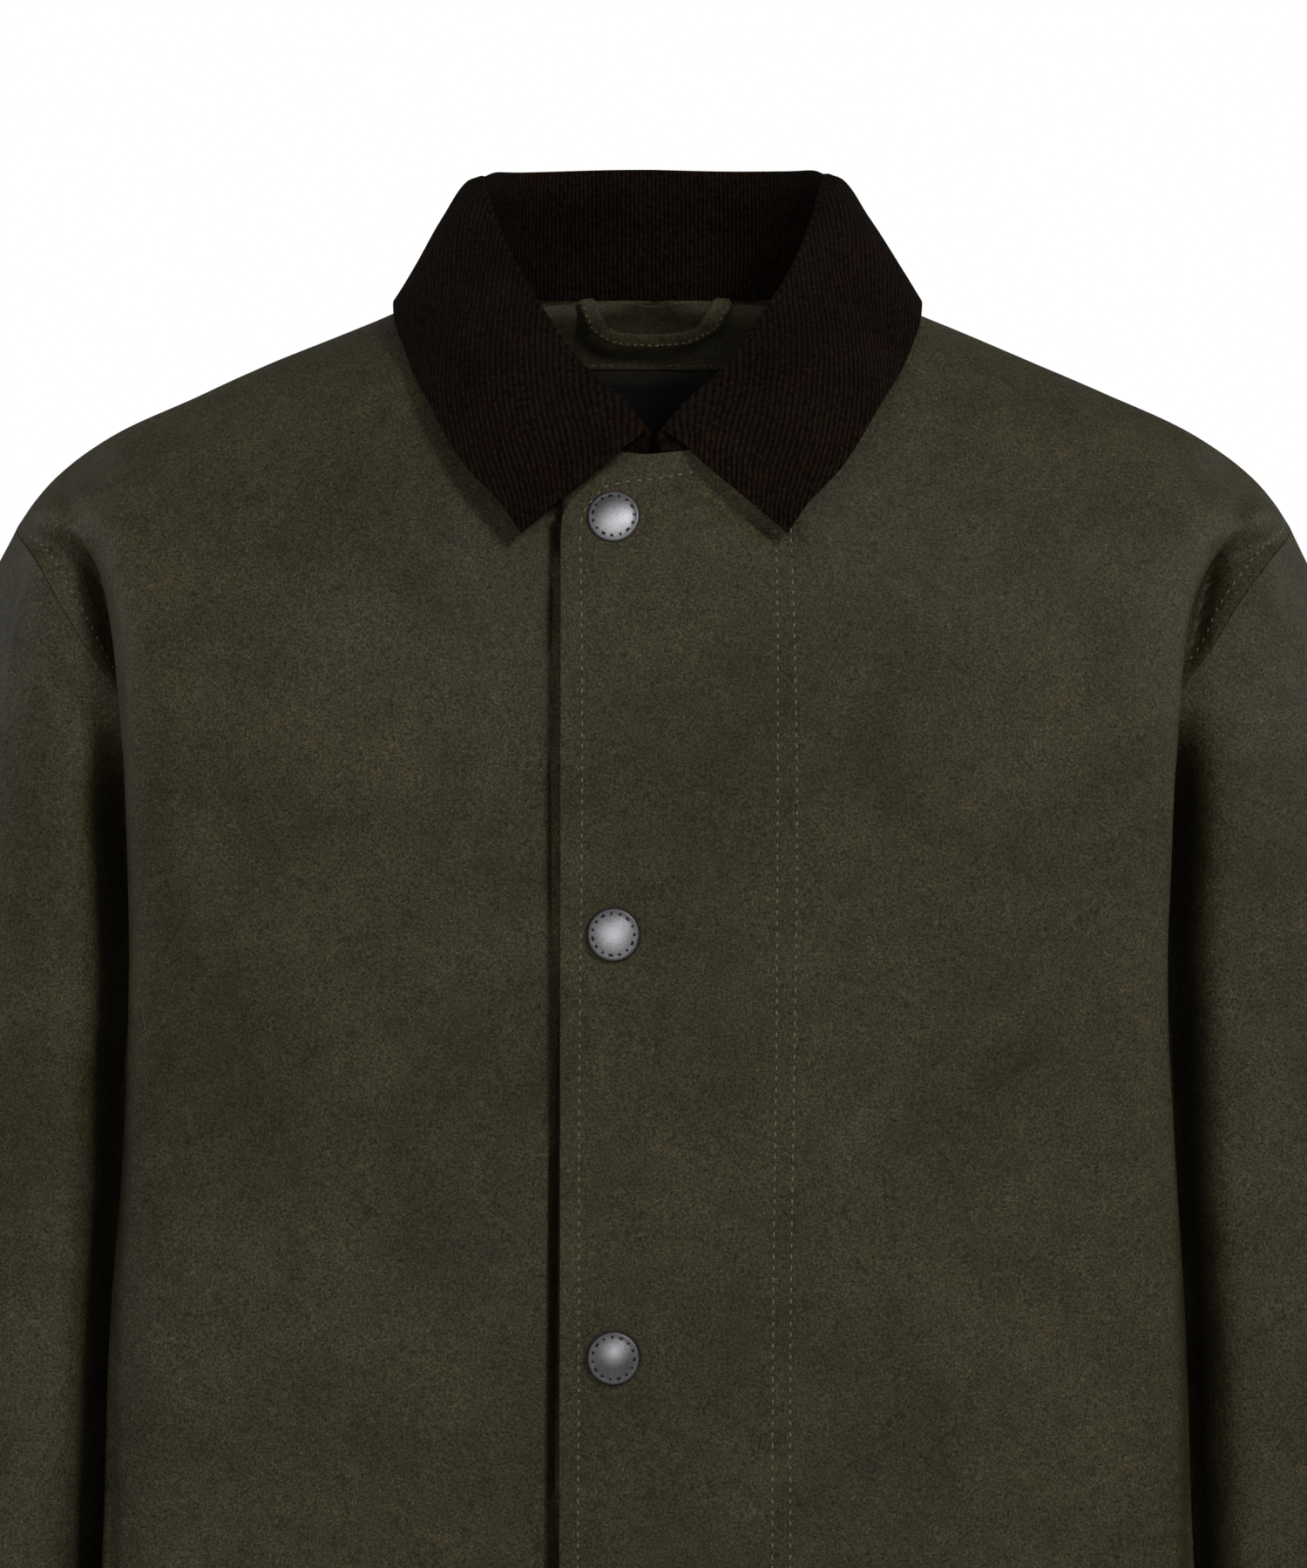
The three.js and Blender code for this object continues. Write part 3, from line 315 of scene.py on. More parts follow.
# ------------------------------------------------------------------ creases, placed one by one
# from, to (x, y, z), half width, height (minus is a trough), pieces
CREASES = [
    # drag lines by the top snap and across the left chest
    ((-5, -106, -87), (20, -104, -78), 3.0, 1.3, "FL"), ((-6, -108, -96), (28, -106, -82.5), 3.3, 1.6, "FL"),
    ((-4, -110, -105), (32, -109, -91.5), 3.4, 1.4, "FL"), ((-4, -108, -91.5), (24, -106, -80), 2.5, -1.2, "FL"),
    ((-4, -110, -100.5), (30, -108, -87), 2.7, -1.2, "FL"), ((4, -112, -118), (46, -112, -104), 6, 1.2, "FL"),
    ((70, -112, -118), (150, -108, -150), 16, 1.2, "FL"), ((96, -112, -150), (176, -104, -205), 20, -1.4, "FL"),
    ((188, -100, -150), (120, -116, -215), 13, 1.5, "FL"), ((190, -104, -190), (140, -116, -262), 15, -1.3, "FL"),
    ((60, -118, -330), (150, -116, -385), 24, 1.2, "FL"), ((20, -121, -430), (120, -118, -470), 22, -1.2, "FL"),
    ((-8, -119, -275), (22, -119, -310), 9, 0.7, "FL"), ((-4, -119, -395), (34, -120, -382), 9, 0.8, "FL"),
    # right chest
    ((-190, -98, -142), (-120, -115, -196), 13, 1.6, "FR"), ((-194, -104, -178), (-130, -116, -250), 15, -1.5, "FR"),
    ((-60, -112, -125), (-140, -108, -165), 17, 1.1, "FR"), ((-60, -118, -210), (-168, -110, -292), 22, -1.1, "FR"),
    ((-50, -120, -395), (-160, -116, -425), 26, 1.3, "FR"), ((-70, -121, -520), (-180, -112, -560), 26, -1.4, "FR"),
    ((50, -121, -560), (176, -112, -610), 26, 1.4, "FL"), ((70, -121, -640), (190, -100, -660), 24, -1.3, "FL"),
    ((-60, -121, -640), (-190, -98, -690), 26, 1.5, "FR"),
    # shoulder ends
    ((-238, -18, -86), (-230, -56, -106), 2.2, 1.7, "FR"), ((-234, -18, -82), (-226, -54, -102), 2.2, -1.5, "FR"),
    ((-230, -20, -78), (-223, -50, -97), 2.2, 1.1, "FR"),
    ((237, -18, -86), (229, -54, -106), 2.4, 1.5, "FL"), ((232, -16, -80), (224, -50, -100), 2.4, -1.4, "FL"),
    # sleeves: heads, front of the elbow, above the cuff
    ((-250, -40, -106), (-258, -44, -166), 2.4, 1.6, "SR"), ((-246, -48, -110), (-254, -50, -158), 2.2, -1.4, "SR"),
    ((-242, -56, -114), (-249, -60, -150), 2.2, 1.2, "SR"),
    ((-212, -80, -168), (-262, -58, -132), 8, -2.0, "SR"), ((-206, -82, -190), (-268, -55, -158), 9, 1.6, "SR"),
    ((247, -54, -114), (256, -50, -184), 3.2, 1.3, "SL"), ((206, -80, -172), (262, -56, -136), 8, -1.9, "SL"),
    ((204, -82, -196), (268, -52, -166), 9, 1.5, "SL"),
    ((-196, -84, -300), (-276, -50, -262), 11, -1.8, "SR"), ((-198, -86, -345), (-282, -40, -322), 10, 1.8, "SR"),
    ((-206, -86, -392), (-290, -36, -408), 11, -2.0, "SR"), ((-212, -84, -440), (-294, -30, -432), 9, 1.8, "SR"),
    ((196, -84, -292), (276, -50, -256), 11, -1.7, "SL"), ((200, -86, -350), (284, -40, -330), 10, 1.8, "SL"),
    ((206, -86, -398), (290, -36, -420), 11, -2.0, "SL"), ((212, -84, -452), (296, -30, -440), 9, 1.7, "SL"),
    ((-226, -88, -590), (-304, -40, -606), 9, 1.6, "SR"), ((-230, -86, -630), (-308, -30, -636), 8, -1.5, "SR"),
    ((226, -88, -600), (304, -40, -584), 9, 1.6, "SL"), ((230, -86, -644), (308, -30, -630), 8, -1.5, "SL"),
    ((-214, 56, -380), (-288, 30, -402), 12, 2.0, "SR"), ((214, 56, -372), (288, 30, -398), 12, 2.0, "SL"),
    ((-210, 62, -300), (-280, 40, -330), 13, -1.8, "SR"), ((210, 62, -310), (280, 40, -326), 13, -1.8, "SL"),
    # back
    ((-190, 84, -190), (-90, 97, -250), 20, 2.2, "B"), ((188, 84, -196), (96, 97, -262), 20, 2.0, "B"),
    ((-170, 84, -260), (-70, 95, -330), 20, -2.0, "B"), ((172, 84, -252), (80, 95, -318), 18, -2.0, "B"),
    ((-150, 84, -400), (-20, 92, -425), 24, 1.8, "B"), ((160, 80, -430), (40, 92, -452), 22, -1.8, "B"),
    ((-60, 94, -480), (-40, 104, -700), 26, 2.4, "B"), ((70, 94, -500), (84, 106, -740), 26, 2.2, "B"),
    ((10, 92, -520), (16, 108, -760), 24, -2.0, "B"), ((-120, 84, -540), (-128, 92, -750), 22, -1.8, "B"),
    ((-60, 92, -70), (60, 92, -66), 16, 0.9, "B"), ((-206, 70, -140), (-150, 92, -150), 12, 1.5, "B"),
    ((206, 70, -140), (154, 92, -156), 12, 1.4, "B"),
]
GAP_LINE = [(-770, 222), (-650, 217), (-490, 212), (-420, 209.5), (-330, 205), (-262, 202.5), (-200, 204)]
gap_at = lambda z: np.interp(z, [r[0] for r in GAP_LINE], [r[1] for r in GAP_LINE])
WAVES = [(rng.normal(size=3), rng.uniform(0, 6.28), rng.uniform(60, 190)) for _ in range(9)]


def relief(P, tag):
    d, c = np.zeros(len(P)), np.zeros(len(P))
    for v, ph, wl in WAVES:
        d += 0.16 * np.sin((P @ (v / np.linalg.norm(v))) * 2 * np.pi / wl + ph)
    for a, b, w, h, who in CREASES:
        if who != tag:
            continue
        a, b = np.array(a, float), np.array(b, float)
        t = np.clip(((P - a) @ (b - a)) / ((b - a) @ (b - a)), -0.3, 1.3)
        q = np.linalg.norm(P - (a + np.clip(t, 0, 1)[:, None] * (b - a)), axis=1)
        c += h * np.exp(-(q / w) ** 2) * np.sin(np.pi * np.clip(t * 0.8 + 0.1, 0, 1)) ** 0.7
    e, back = np.zeros(len(P)), np.zeros(len(P))
    if tag in ("SL", "SR"):                          # the deep gap between the chest and the sleeve
        a, z = np.abs(P[:, 0]), P[:, 2]
        mid = gap_at(z) - (4.0 if tag == "SL" else 0)
        back = 32 * np.exp(-((a - mid) / 8.5) ** 2) * (1 - smooth(-205, -158, z)) * (1 - smooth(-64, -30, P[:, 1]))
    if tag in ("FL", "FR"):
        a, z = np.abs(P[:, 0]), P[:, 2]
        mid = np.interp(z, [-190, -160, -126, -109], [203, 205.5, 210.5, 215])
        back = 9 * np.exp(-((a - mid) / 4.0) ** 2) * (1 - smooth(-116, -92, z)) * smooth(-104, -96, P[:, 1])
        if tag == "FL":
            e += 0.9 * (1 - smooth(-36, -26, P[:, 0]))
        else:
            u = P[:, 0] + 37.0
            w = np.where(u < 0, 1.9 + 0.8 * smooth(-420, -120, z), 1.6)
            e -= (1.5 + 6.0 * smooth(-766, -725, z)) * np.exp(-(u / w) ** 2)
    if tag in ("FL", "FR"):
        for z in SNAP_LEVELS:                        # the snaps dish the cloth a little
            r = np.hypot(P[:, 0] - SNAP_X, P[:, 2] - z)
            e -= 0.45 * np.exp(-(r / 11) ** 2) - 0.4 * np.exp(-((r - 19) / 6) ** 2) * (0.5 + 0.5 * np.sin(7 * np.arctan2(P[:, 2] - z, P[:, 0] - SNAP_X)))
        if tag == "FL":                              # the double row draws the cloth in
            for x0 in (46.4, 52.0):
                e -= 0.45 * np.exp(-((P[:, 0] - x0 + 1.1 * smooth(-300, -160, P[:, 2])) / 1.8) ** 2)
            pucker = np.sin(P[:, 2] / 1.15 + 1.7 * np.sin(P[:, 2] / 9.0)) * (0.6 + 0.4 * np.sin(P[:, 2] / 21.0))
            e += 0.16 * pucker * np.exp(-((P[:, 0] - 49) / 3.4) ** 2)
            e -= 0.35 * np.exp(-((P[:, 0] + 28) / 2.0) ** 2)
            # the cloth falls away under the front edge of the left leaf
            t = np.clip(((P[:, 0] - 13) * 36 - (P[:, 2] + 77) * 22) / (36 ** 2 + 22 ** 2), 0, 1)
            q = np.hypot(P[:, 0] - 13 - 36 * t, P[:, 2] + 77 + 22 * t)
            e -= (4.8 - 2.0 * t) * np.exp(-(q / 5.6) ** 2)
    return d, c, e, back


# ------------------------------------------------------------------ meshes
def grid_tris(g, flip=False, closed=False, base=0):
    n, m = g.shape[:2]
    idx = np.arange(n * m).reshape(n, m) + base
    if closed:
        idx = np.vstack([idx, idx[:1]])
    a, b, c, d = idx[:-1, :-1], idx[1:, :-1], idx[1:, 1:], idx[:-1, 1:]
    q = np.stack([a, b, c, d], -1).reshape(-1, 4)
    return q[:, ::-1] if flip else q


class Surf:
    """An open surface of quads, in one piece, with its points shared."""

    def __init__(self, name, tag, parts, thick, relief_on=True):
        self.name, self.tag, self.thick, self.relief_on = name, tag, thick, relief_on
        P, Q, base = [], [], 0
        for g, flip, closed in parts:
            P.append(g.reshape(-1, 3))
            Q.append(grid_tris(g, flip, closed, base))
            base += g.shape[0] * g.shape[1]
        P, Q = np.vstack(P), np.vstack(Q)
        key = np.round(P * 1e3).astype(np.int64)
        _, first, inv = np.unique(key, axis=0, return_index=True, return_inverse=True)
        inv = inv.reshape(-1)
        self.map, self.P, self.Q = inv, P[first], inv[Q]

    def normals(self):
        P, Q = self.P, self.Q
        n = np.cross(P[Q[:, 2]] - P[Q[:, 0]], P[Q[:, 3]] - P[Q[:, 1]])
        N = np.zeros_like(P)
        for k in range(4):
            np.add.at(N, Q[:, k], n)
        self.N = N / np.maximum(1e-12, np.linalg.norm(N, axis=1))[:, None]


def share(surfs):
    met = {}
    for s in surfs:
        s.normals()
        s.M = s.N.copy()
    for si, s in enumerate(surfs):
        e = boundary(s.Q)
        s.rim = e
        for i in np.unique(e):
            met.setdefault(tuple(np.round(s.P[i] * 1e2).astype(int)), []).append((si, i))
    for lst in met.values():
        if len({si for si, _ in lst}) > 1:
            n = sum(surfs[si].N[i] for si, i in lst)
            n = n / max(1e-9, np.linalg.norm(n))
            for si, i in lst:
                surfs[si].M[i] = n


def boundary(Q):
    e = np.vstack([Q[:, [0, 1]], Q[:, [1, 2]], Q[:, [2, 3]], Q[:, [3, 0]]])
    e = e[e[:, 0] != e[:, 1]]
    code, rev = e[:, 0] * 10**7 + e[:, 1], e[:, 1] * 10**7 + e[:, 0]
    return e[~np.isin(code, rev)]


def link(name, mesh):
    o = bpy.data.objects.new(name, mesh)
    scene.collection.objects.link(o)
    return o


def make_mesh(name, V, F, angle=50):
    me = bpy.data.meshes.new(name)
    me.from_pydata((np.asarray(V) * MM).tolist(), [], [list(dict.fromkeys(map(int, f))) for f in F])
    me.validate()
    me.polygons.foreach_set("use_smooth", np.ones(len(me.polygons), dtype=bool))
    if angle:
        me.set_sharp_from_angle(angle=math.radians(angle))
    me.update()
    return me


CROWN_MID = 0.9


def build(s):
    """Both faces and the edges of one cloth surface; returns its object and keeps the outer face's points on the
    surface.
    """
    if s.tag == "C":
        s.P = s.P + np.array([1.0, 0, 0]) * (2.6 * (1 - smooth(-101, -80, s.P[:, 0])))[:, None]
        side = np.abs(s.P[:, 0])                     # the fold turns its corners softly
        s.P[:, 2] += (CROWN_MID * np.exp(-(side / 42) ** 2) - 1.9 * np.exp(-((side - 68) / 3.4) ** 2)) * smooth(36, 44, s.P[:, 2])
    if s.relief_on:
        kd = KDTree(len(np.unique(s.rim)))
        for i in np.unique(s.rim):
            kd.insert(Vector(s.P[i].tolist()), int(i))
        kd.balance()
        far = np.array([kd.find(Vector(p.tolist()))[2] for p in s.P])
        waves, creases, close, back = relief(s.P, s.tag)
        s.P = s.P + s.M * (waves + creases * smooth(0, 7, far) + close)[:, None]
        s.P[:, 1] += back * smooth(1, 9, far)
    P, M, e = s.P, s.M, s.rim
    # pull each edge back from the seam line
    inn = np.zeros_like(P)
    own = {}
    for q in s.Q:
        for k in range(4):
            own[(q[k], q[(k + 1) % 4])] = q[(k + 2) % 4]
    for a, b in e:
        c = own[(a, b)]
        t = P[b] - P[a]
        t = t / max(1e-9, np.linalg.norm(t))
        d = P[c] - P[a]
        d = d - t * (d @ t)
        d = d / max(1e-9, np.linalg.norm(d))
        inn[a] += d
        inn[b] += d
    rim = np.unique(e)
    d = inn[rim] - M[rim] * np.sum(inn[rim] * M[rim], axis=1)[:, None]
    d = d / np.maximum(1e-9, np.linalg.norm(d, axis=1))[:, None]
    k = 1 + 2.5 * (1 - np.abs(np.sum(M[rim] * s.N[rim], axis=1)))
    P = P.copy()
    P[rim] += d * (SEAM * k)[:, None]
    n, h = len(P), s.thick / 2
    V = np.vstack([P + M * h, P - M * h])
    F = [q for q in s.Q] + [q[::-1] + n for q in s.Q] + [np.array([b, a, a + n, b + n]) for a, b in e]
    F = [np.asarray(f) for f in F]
    o = link(s.name, make_mesh(s.name, V, F))
    s.outer, s.obj, s.count = V[:n], o, n
    return o


lap_edge_f = through([-770, -106, -98, -91, -82, -73.5, -66], [LAP_EDGE + 1, LAP_EDGE, LAP_EDGE, LAP_EDGE - 0.6, 29, 19, 6])
left_edge = lambda z: -lap_edge_f(np.ravel(z))[0, 0]
right_edge = lambda z: -UNDER_EDGE + 6 if np.ravel(z)[0] > -80 else -UNDER_EDGE
nv_f = NV_LOW + [NV_TOP] * 7
nv_b = NV_LOW + [NV_TOP] * 2 + [NV_TOP, NV_TOP // 2, NV_TOP // 2] + [NV_TOP] * 3
left_g, us, pl_f = half_panel(FRONT_ROWS, True, left_edge, front_y, fx, lambda x: -lap(x), nv_f)
right_g, _, _ = half_panel(FRONT_ROWS, True, right_edge, front_y, fx, lap, nv_f)
back_g, _, pl_b = half_panel(BACK_ROWS, False, lambda z: 0.0, back_y, bx, None, nv_b)

jf, jb = int(np.where(pl_f == 6)[0][0]), int(np.where(pl_b == 6)[0][0])
f_arm, b_arm = left_g[-1, jf:][::-1], back_g[-1, jb:]
loop_pts = np.vstack([f_arm, b_arm[1:-1]])


def share_of(p):
    t = np.concatenate([[0], np.cumsum(np.linalg.norm(np.diff(p, axis=0), axis=1))])
    return t / t[-1]


angles = np.concatenate([share_of(f_arm) * np.pi, np.pi + share_of(b_arm)[1:-1] * np.pi])


def ring(s, a):
    xo, zo, xi, zi, yf, yb = s
    c, q = np.cos(a), np.sin(a)
    side, fore = np.sign(c) * np.abs(c) ** 0.94, np.sign(q) * np.abs(q) ** 0.94
    return np.stack([(xo + xi) / 2 + (xo - xi) / 2 * side, (yf + yb) / 2 - (yb - yf) / 2 * fore, (zo + zi) / 2 + (zo - zi) / 2 * side], -1)


rings = np.stack([np.where((loop_pts[:, 2] < -250)[:, None], loop_pts + [UNDERARM, 0, 0], loop_pts)] + [ring(s, angles) for s in SLEEVE], 1)
NS = 12
sl_places = np.concatenate([r + np.arange(NS) / NS for r in range(len(SLEEVE))] + [[len(SLEEVE)]])
sleeve_g = np.array([thread(r)(sl_places) for r in rings])

cf, cb = int(np.where(pl_f == 10)[0][0]), int(np.where(pl_b == 12)[0][0])
collar_table = through([r[0] for r in COLLAR], [r[1:] for r in COLLAR])


def unit(a):
    return a / max(1e-9, np.linalg.norm(a))


def section(n, s):
    q = collar_table(s)[0]
    F, O, bow, stand = q[:3], q[3:6], q[6], q[7]
    a, b = unit(n - F), unit(O - F)
    down = unit(a + b)
    out = b - a * (a @ b)
    wide = unit(out - down * (out @ down))
    room = min(1, np.linalg.norm(n - F) / 14)
    i1, o1 = F + down * 4.2 * room - wide * FOLD_R, F + down * 4.2 + wide * FOLD_R
    lo, hi = collar_table(max(0, s - 0.01))[0][3:6], collar_table(min(2, s + 0.01))[0][3:6]
    face = unit(np.cross(hi - lo, b))
    bw = lambda f: o1 + (O - o1) * f - face * bow * 4 * f * (1 - f)
    st = lambda f: n + (i1 - n) * f - face * stand * 4 * f * (1 - f)
    return np.array([n, st(0.5), i1, F + down * 0.9, o1, bw(0.33), bw(0.67), O])


def half_collar(front_grid):
    cols = []
    necks = [(front_grid[0, j], v) for j, v in list(enumerate(pl_f))[cf:]]
    for p, v in necks:
        r = min(len(FRONT_ROWS) - 2, int(v))
        cols.append(section(p, mix(FRONT_ROWS[r]["neck"], FRONT_ROWS[r + 1]["neck"], v - r)))
    backs = [(back_g[0, j], v) for j, v in list(enumerate(pl_b))[cb:]][::-1]
    for p, v in backs[1:]:
        r = min(len(BACK_ROWS) - 2, int(v))
        cols.append(section(p, 2 - mix(BACK_ROWS[r]["neck"], BACK_ROWS[r + 1]["neck"], v - r)))
    return np.array(cols)


c_left, c_right = half_collar(left_g), mirrored(half_collar(right_g))[::-1]
c_cols = np.concatenate([c_left, c_right[1:]])
NC = [6, 6, 6, 6, 9, 10, 10]
c_places = np.concatenate([k + np.arange(n) / n for k, n in enumerate(NC)] + [[len(NC)]])
collar_g = np.array([thread(c)(c_places) for c in c_cols])
# more columns along the collar
fine = 3
ks = np.concatenate([i + np.arange(fine) / fine for i in range(len(collar_g) - 1)] + [[len(collar_g) - 1]])
collar_g = np.stack([thread(collar_g[:, k])(ks) for k in range(collar_g.shape[1])], 1)

S = {
    "front_left": Surf("front_left", "FL", [(settle(left_g), False, False)], CLOTH),
    "front_right": Surf("front_right", "FR", [(mirrored(right_g), True, False)], CLOTH),
    "back": Surf("back", "B", [(settle(back_g), True, False), (mirrored(back_g), False, False)], CLOTH),
    "sleeve_left": Surf("sleeve_left", "SL", [(settle(sleeve_g), False, True)], CLOTH),
    "sleeve_right": Surf("sleeve_right", "SR", [(mirrored(sleeve_g), True, True)], CLOTH),
    "collar": Surf("collar", "C", [(collar_g, False, False)], CORD),
}
share(list(S.values()))
for s in S.values():
    build(s)


# ------------------------------------------------------------------ materials
def material(name):
    m = bpy.data.materials.new(name)
    m.use_nodes = True
    nt = m.node_tree
    nt.nodes.clear()
    out = nt.nodes.new("ShaderNodeOutputMaterial")
    p = nt.nodes.new("ShaderNodeBsdfPrincipled")
    nt.links.new(p.outputs[0], out.inputs[0])
    return m, nt, p


def node(nt, kind, **inputs):
    n = nt.nodes.new(kind)
    for k, v in inputs.items():
        n.inputs[k.replace("_", " ")].default_value = v
    return n


def math_node(nt, op, a, b=None, c=None):
    n = nt.nodes.new("ShaderNodeMath")
    n.operation = op
    for i, v in enumerate((a, b, c)):
        if v is None:
            continue
        if isinstance(v, (int, float)):
            n.inputs[i].default_value = v
        else:
            nt.links.new(v, n.inputs[i])
    return n.outputs[0]


def noise(nt, vec, scale, detail=3, rough=0.55, distort=0.0):
    n = node(nt, "ShaderNodeTexNoise", Scale=scale, Detail=detail, Roughness=rough, Distortion=distort)
    nt.links.new(vec, n.inputs["Vector"])
    return n.outputs["Fac"]


def ramp(nt, fac, stops):
    r = nt.nodes.new("ShaderNodeValToRGB")
    while len(r.color_ramp.elements) < len(stops):
        r.color_ramp.elements.new(0.5)
    for e, (pos, c) in zip(r.color_ramp.elements, stops):
        e.position, e.color = pos, (*c, 1)
    nt.links.new(fac, r.inputs[0])
    return r.outputs[0]


def mix_rgb(nt, kind, fac, a, b):
    n = nt.nodes.new("ShaderNodeMix")
    n.data_type, n.blend_type = "RGBA", kind
    for sock, v in ((n.inputs[0], fac), (n.inputs[6], a), (n.inputs[7], b)):
        if isinstance(v, (int, float)):
            sock.default_value = v
        elif isinstance(v, tuple):
            sock.default_value = (*v, 1)
        else:
            nt.links.new(v, sock)
    return n.outputs[2]


def fibres(nt, vec, scale, width, distort=1.6):
    """Fine curved hairs: the contour lines of a distorted noise."""
    n = noise(nt, vec, scale, 1.5, 0.5, distort)
    d = math_node(nt, "ABSOLUTE", math_node(nt, "SUBTRACT", n, 0.5))
    r = nt.nodes.new("ShaderNodeMapRange")
    r.inputs["From Min"].default_value, r.inputs["From Max"].default_value = 0.0, width
    r.inputs["To Min"].default_value, r.inputs["To Max"].default_value = 1.0, 0.0
    nt.links.new(d, r.inputs["Value"])
    return r.outputs[0]


def waxed(name, dark, light, grain_gain=1.0):
    m, nt, p = material(name)
    co = nt.nodes.new("ShaderNodeTexCoord").outputs["Object"]
    cloud = noise(nt, co, 13, 5, 0.62, 0.5)
    patchy = noise(nt, co, 62, 4, 0.62, 0.8)
    small = noise(nt, co, 240, 3, 0.6, 0.4)
    grain = noise(nt, co, 1000, 2.5, 0.75)
    fine_grain = noise(nt, co, 2400, 2, 0.7)
    hairs = fibres(nt, co, 330, 0.030)
    dark_hairs = fibres(nt, co, 300, 0.026, 2.2)
    tone = math_node(nt, "ADD", math_node(nt, "MULTIPLY", cloud, 0.50), math_node(nt, "MULTIPLY", patchy, 0.32))
    tone = math_node(nt, "ADD", tone, math_node(nt, "MULTIPLY", small, 0.18))
    base = ramp(nt, tone, [(0.37, dark), (0.63, light)])
    g = grain_gain
    speck = ramp(nt, grain, [(0.26, (1 - 0.52 * g,) * 3), (0.5, (1, 1, 1)), (0.74, (1 + 0.62 * g, 1 + 0.57 * g, 1 + 0.42 * g))])
    base = mix_rgb(nt, "MULTIPLY", 1.0, base, speck)
    speck2 = ramp(nt, fine_grain, [(0.28, (1 - 0.40 * g,) * 3), (0.72, (1 + 0.44 * g, 1 + 0.42 * g, 1 + 0.36 * g))])
    base = mix_rgb(nt, "MULTIPLY", 1.0, base, speck2)
    base = mix_rgb(nt, "MULTIPLY", math_node(nt, "MULTIPLY", hairs, 0.55 * g), base, (1.55, 1.5, 1.36))
    base = mix_rgb(nt, "MULTIPLY", math_node(nt, "MULTIPLY", dark_hairs, 0.5 * g), base, (0.62, 0.62, 0.66))
    # cooler, greyer places where the wax has whitened
    cool = ramp(nt, noise(nt, co, 8.5, 3, 0.5, 0.3), [(0.50, (1, 1, 1)), (0.68, (0.97, 1.03, 1.18))])
    base = mix_rgb(nt, "MULTIPLY", 1.0, base, cool)
    nt.links.new(base, p.inputs["Base Color"])
    rough = math_node(nt, "ADD", math_node(nt, "MULTIPLY", patchy, 0.30), 0.42)
    nt.links.new(rough, p.inputs["Roughness"])
    p.inputs["Specular IOR Level"].default_value = 0.10
    # a close plain weave under the wax, and soft handling creases
    soft = noise(nt, co, 95, 4, 0.6, 1.0)
    h = math_node(nt, "ADD", math_node(nt, "MULTIPLY", fine_grain, 0.4), math_node(nt, "MULTIPLY", grain, 0.5))
    h = math_node(nt, "ADD", h, math_node(nt, "MULTIPLY", hairs, 0.25))
    b1 = node(nt, "ShaderNodeBump", Strength=0.42, Distance=0.0006)
    nt.links.new(h, b1.inputs["Height"])
    b2 = node(nt, "ShaderNodeBump", Strength=0.34, Distance=0.0026)
    nt.links.new(soft, b2.inputs["Height"])
    nt.links.new(b1.outputs[0], b2.inputs["Normal"])
    nt.links.new(b2.outputs[0], p.inputs["Normal"])
    return m


def corduroy(name):
    m, nt, p = material(name)
    tc = nt.nodes.new("ShaderNodeTexCoord")
    co = tc.outputs["Object"]
    sep = nt.nodes.new("ShaderNodeSeparateXYZ")
    nt.links.new(tc.outputs["UV"], sep.inputs[0])
    wob = math_node(nt, "MULTIPLY", math_node(nt, "SUBTRACT", noise(nt, co, 110, 3), 0.5), 4.2)
    phase = math_node(nt, "ADD", math_node(nt, "MULTIPLY", sep.outputs[0], 2 * math.pi * 1000 / 17.0 * 1.0), wob)
    wale = math_node(nt, "MULTIPLY", math_node(nt, "ADD", math_node(nt, "SINE", phase), 1.0), 0.5)
    wale = math_node(nt, "POWER", wale, 0.6)
    pile = noise(nt, co, 1500, 3, 0.7)
    lint = ramp(nt, noise(nt, co, 780, 1, 0.4), [(0.70, (0, 0, 0)), (0.76, (1, 1, 1))])
    cloud = noise(nt, co, 22, 4, 0.6)
    base = ramp(nt, wale, [(0.0, (0.0018, 0.0012, 0.0008)), (0.5, (0.0037, 0.0026, 0.0017)), (1.0, (0.0060, 0.0042, 0.0027))])
    base = mix_rgb(nt, "MULTIPLY", 1.0, base, ramp(nt, pile, [(0.28, (0.35, 0.35, 0.35)), (0.72, (1.75, 1.66, 1.55))]))
    base = mix_rgb(nt, "MULTIPLY", 1.0, base, ramp(nt, cloud, [(0.3, (0.75, 0.75, 0.75)), (0.7, (1.3, 1.3, 1.3))]))
    red = ramp(nt, noise(nt, co, 75, 3, 0.6), [(0.45, (1, 1, 1)), (0.65, (1.22, 0.92, 0.90))])
    base = mix_rgb(nt, "MULTIPLY", 1.0, base, red)
    broken = ramp(nt, noise(nt, co, 520, 2, 0.6), [(0.34, (0.45, 0.45, 0.45)), (0.60, (1.18, 1.18, 1.18))])
    base = mix_rgb(nt, "MULTIPLY", 1.0, base, broken)
    base = mix_rgb(nt, "MIX", math_node(nt, "MULTIPLY", lint, 0.35), base, (0.034, 0.016, 0.008))
    nt.links.new(base, p.inputs["Base Color"])
    p.inputs["Roughness"].default_value = 0.85
    p.inputs["Specular IOR Level"].default_value = 0.02
    h = math_node(nt, "ADD", wale, math_node(nt, "MULTIPLY", pile, 0.25))
    b1 = node(nt, "ShaderNodeBump", Strength=0.8, Distance=0.0007)
    nt.links.new(h, b1.inputs["Height"])
    nt.links.new(b1.outputs[0], p.inputs["Normal"])
    return m


def thread_mat(name, c):
    m, nt, p = material(name)
    co = nt.nodes.new("ShaderNodeTexCoord").outputs["Object"]
    n = noise(nt, co, 2200, 2)
    base = ramp(nt, n, [(0.3, tuple(v * 0.7 for v in c)), (0.7, tuple(v * 1.3 for v in c))])
    nt.links.new(base, p.inputs["Base Color"])
    p.inputs["Roughness"].default_value = 0.65
    p.inputs["Specular IOR Level"].default_value = 0.3
    return m


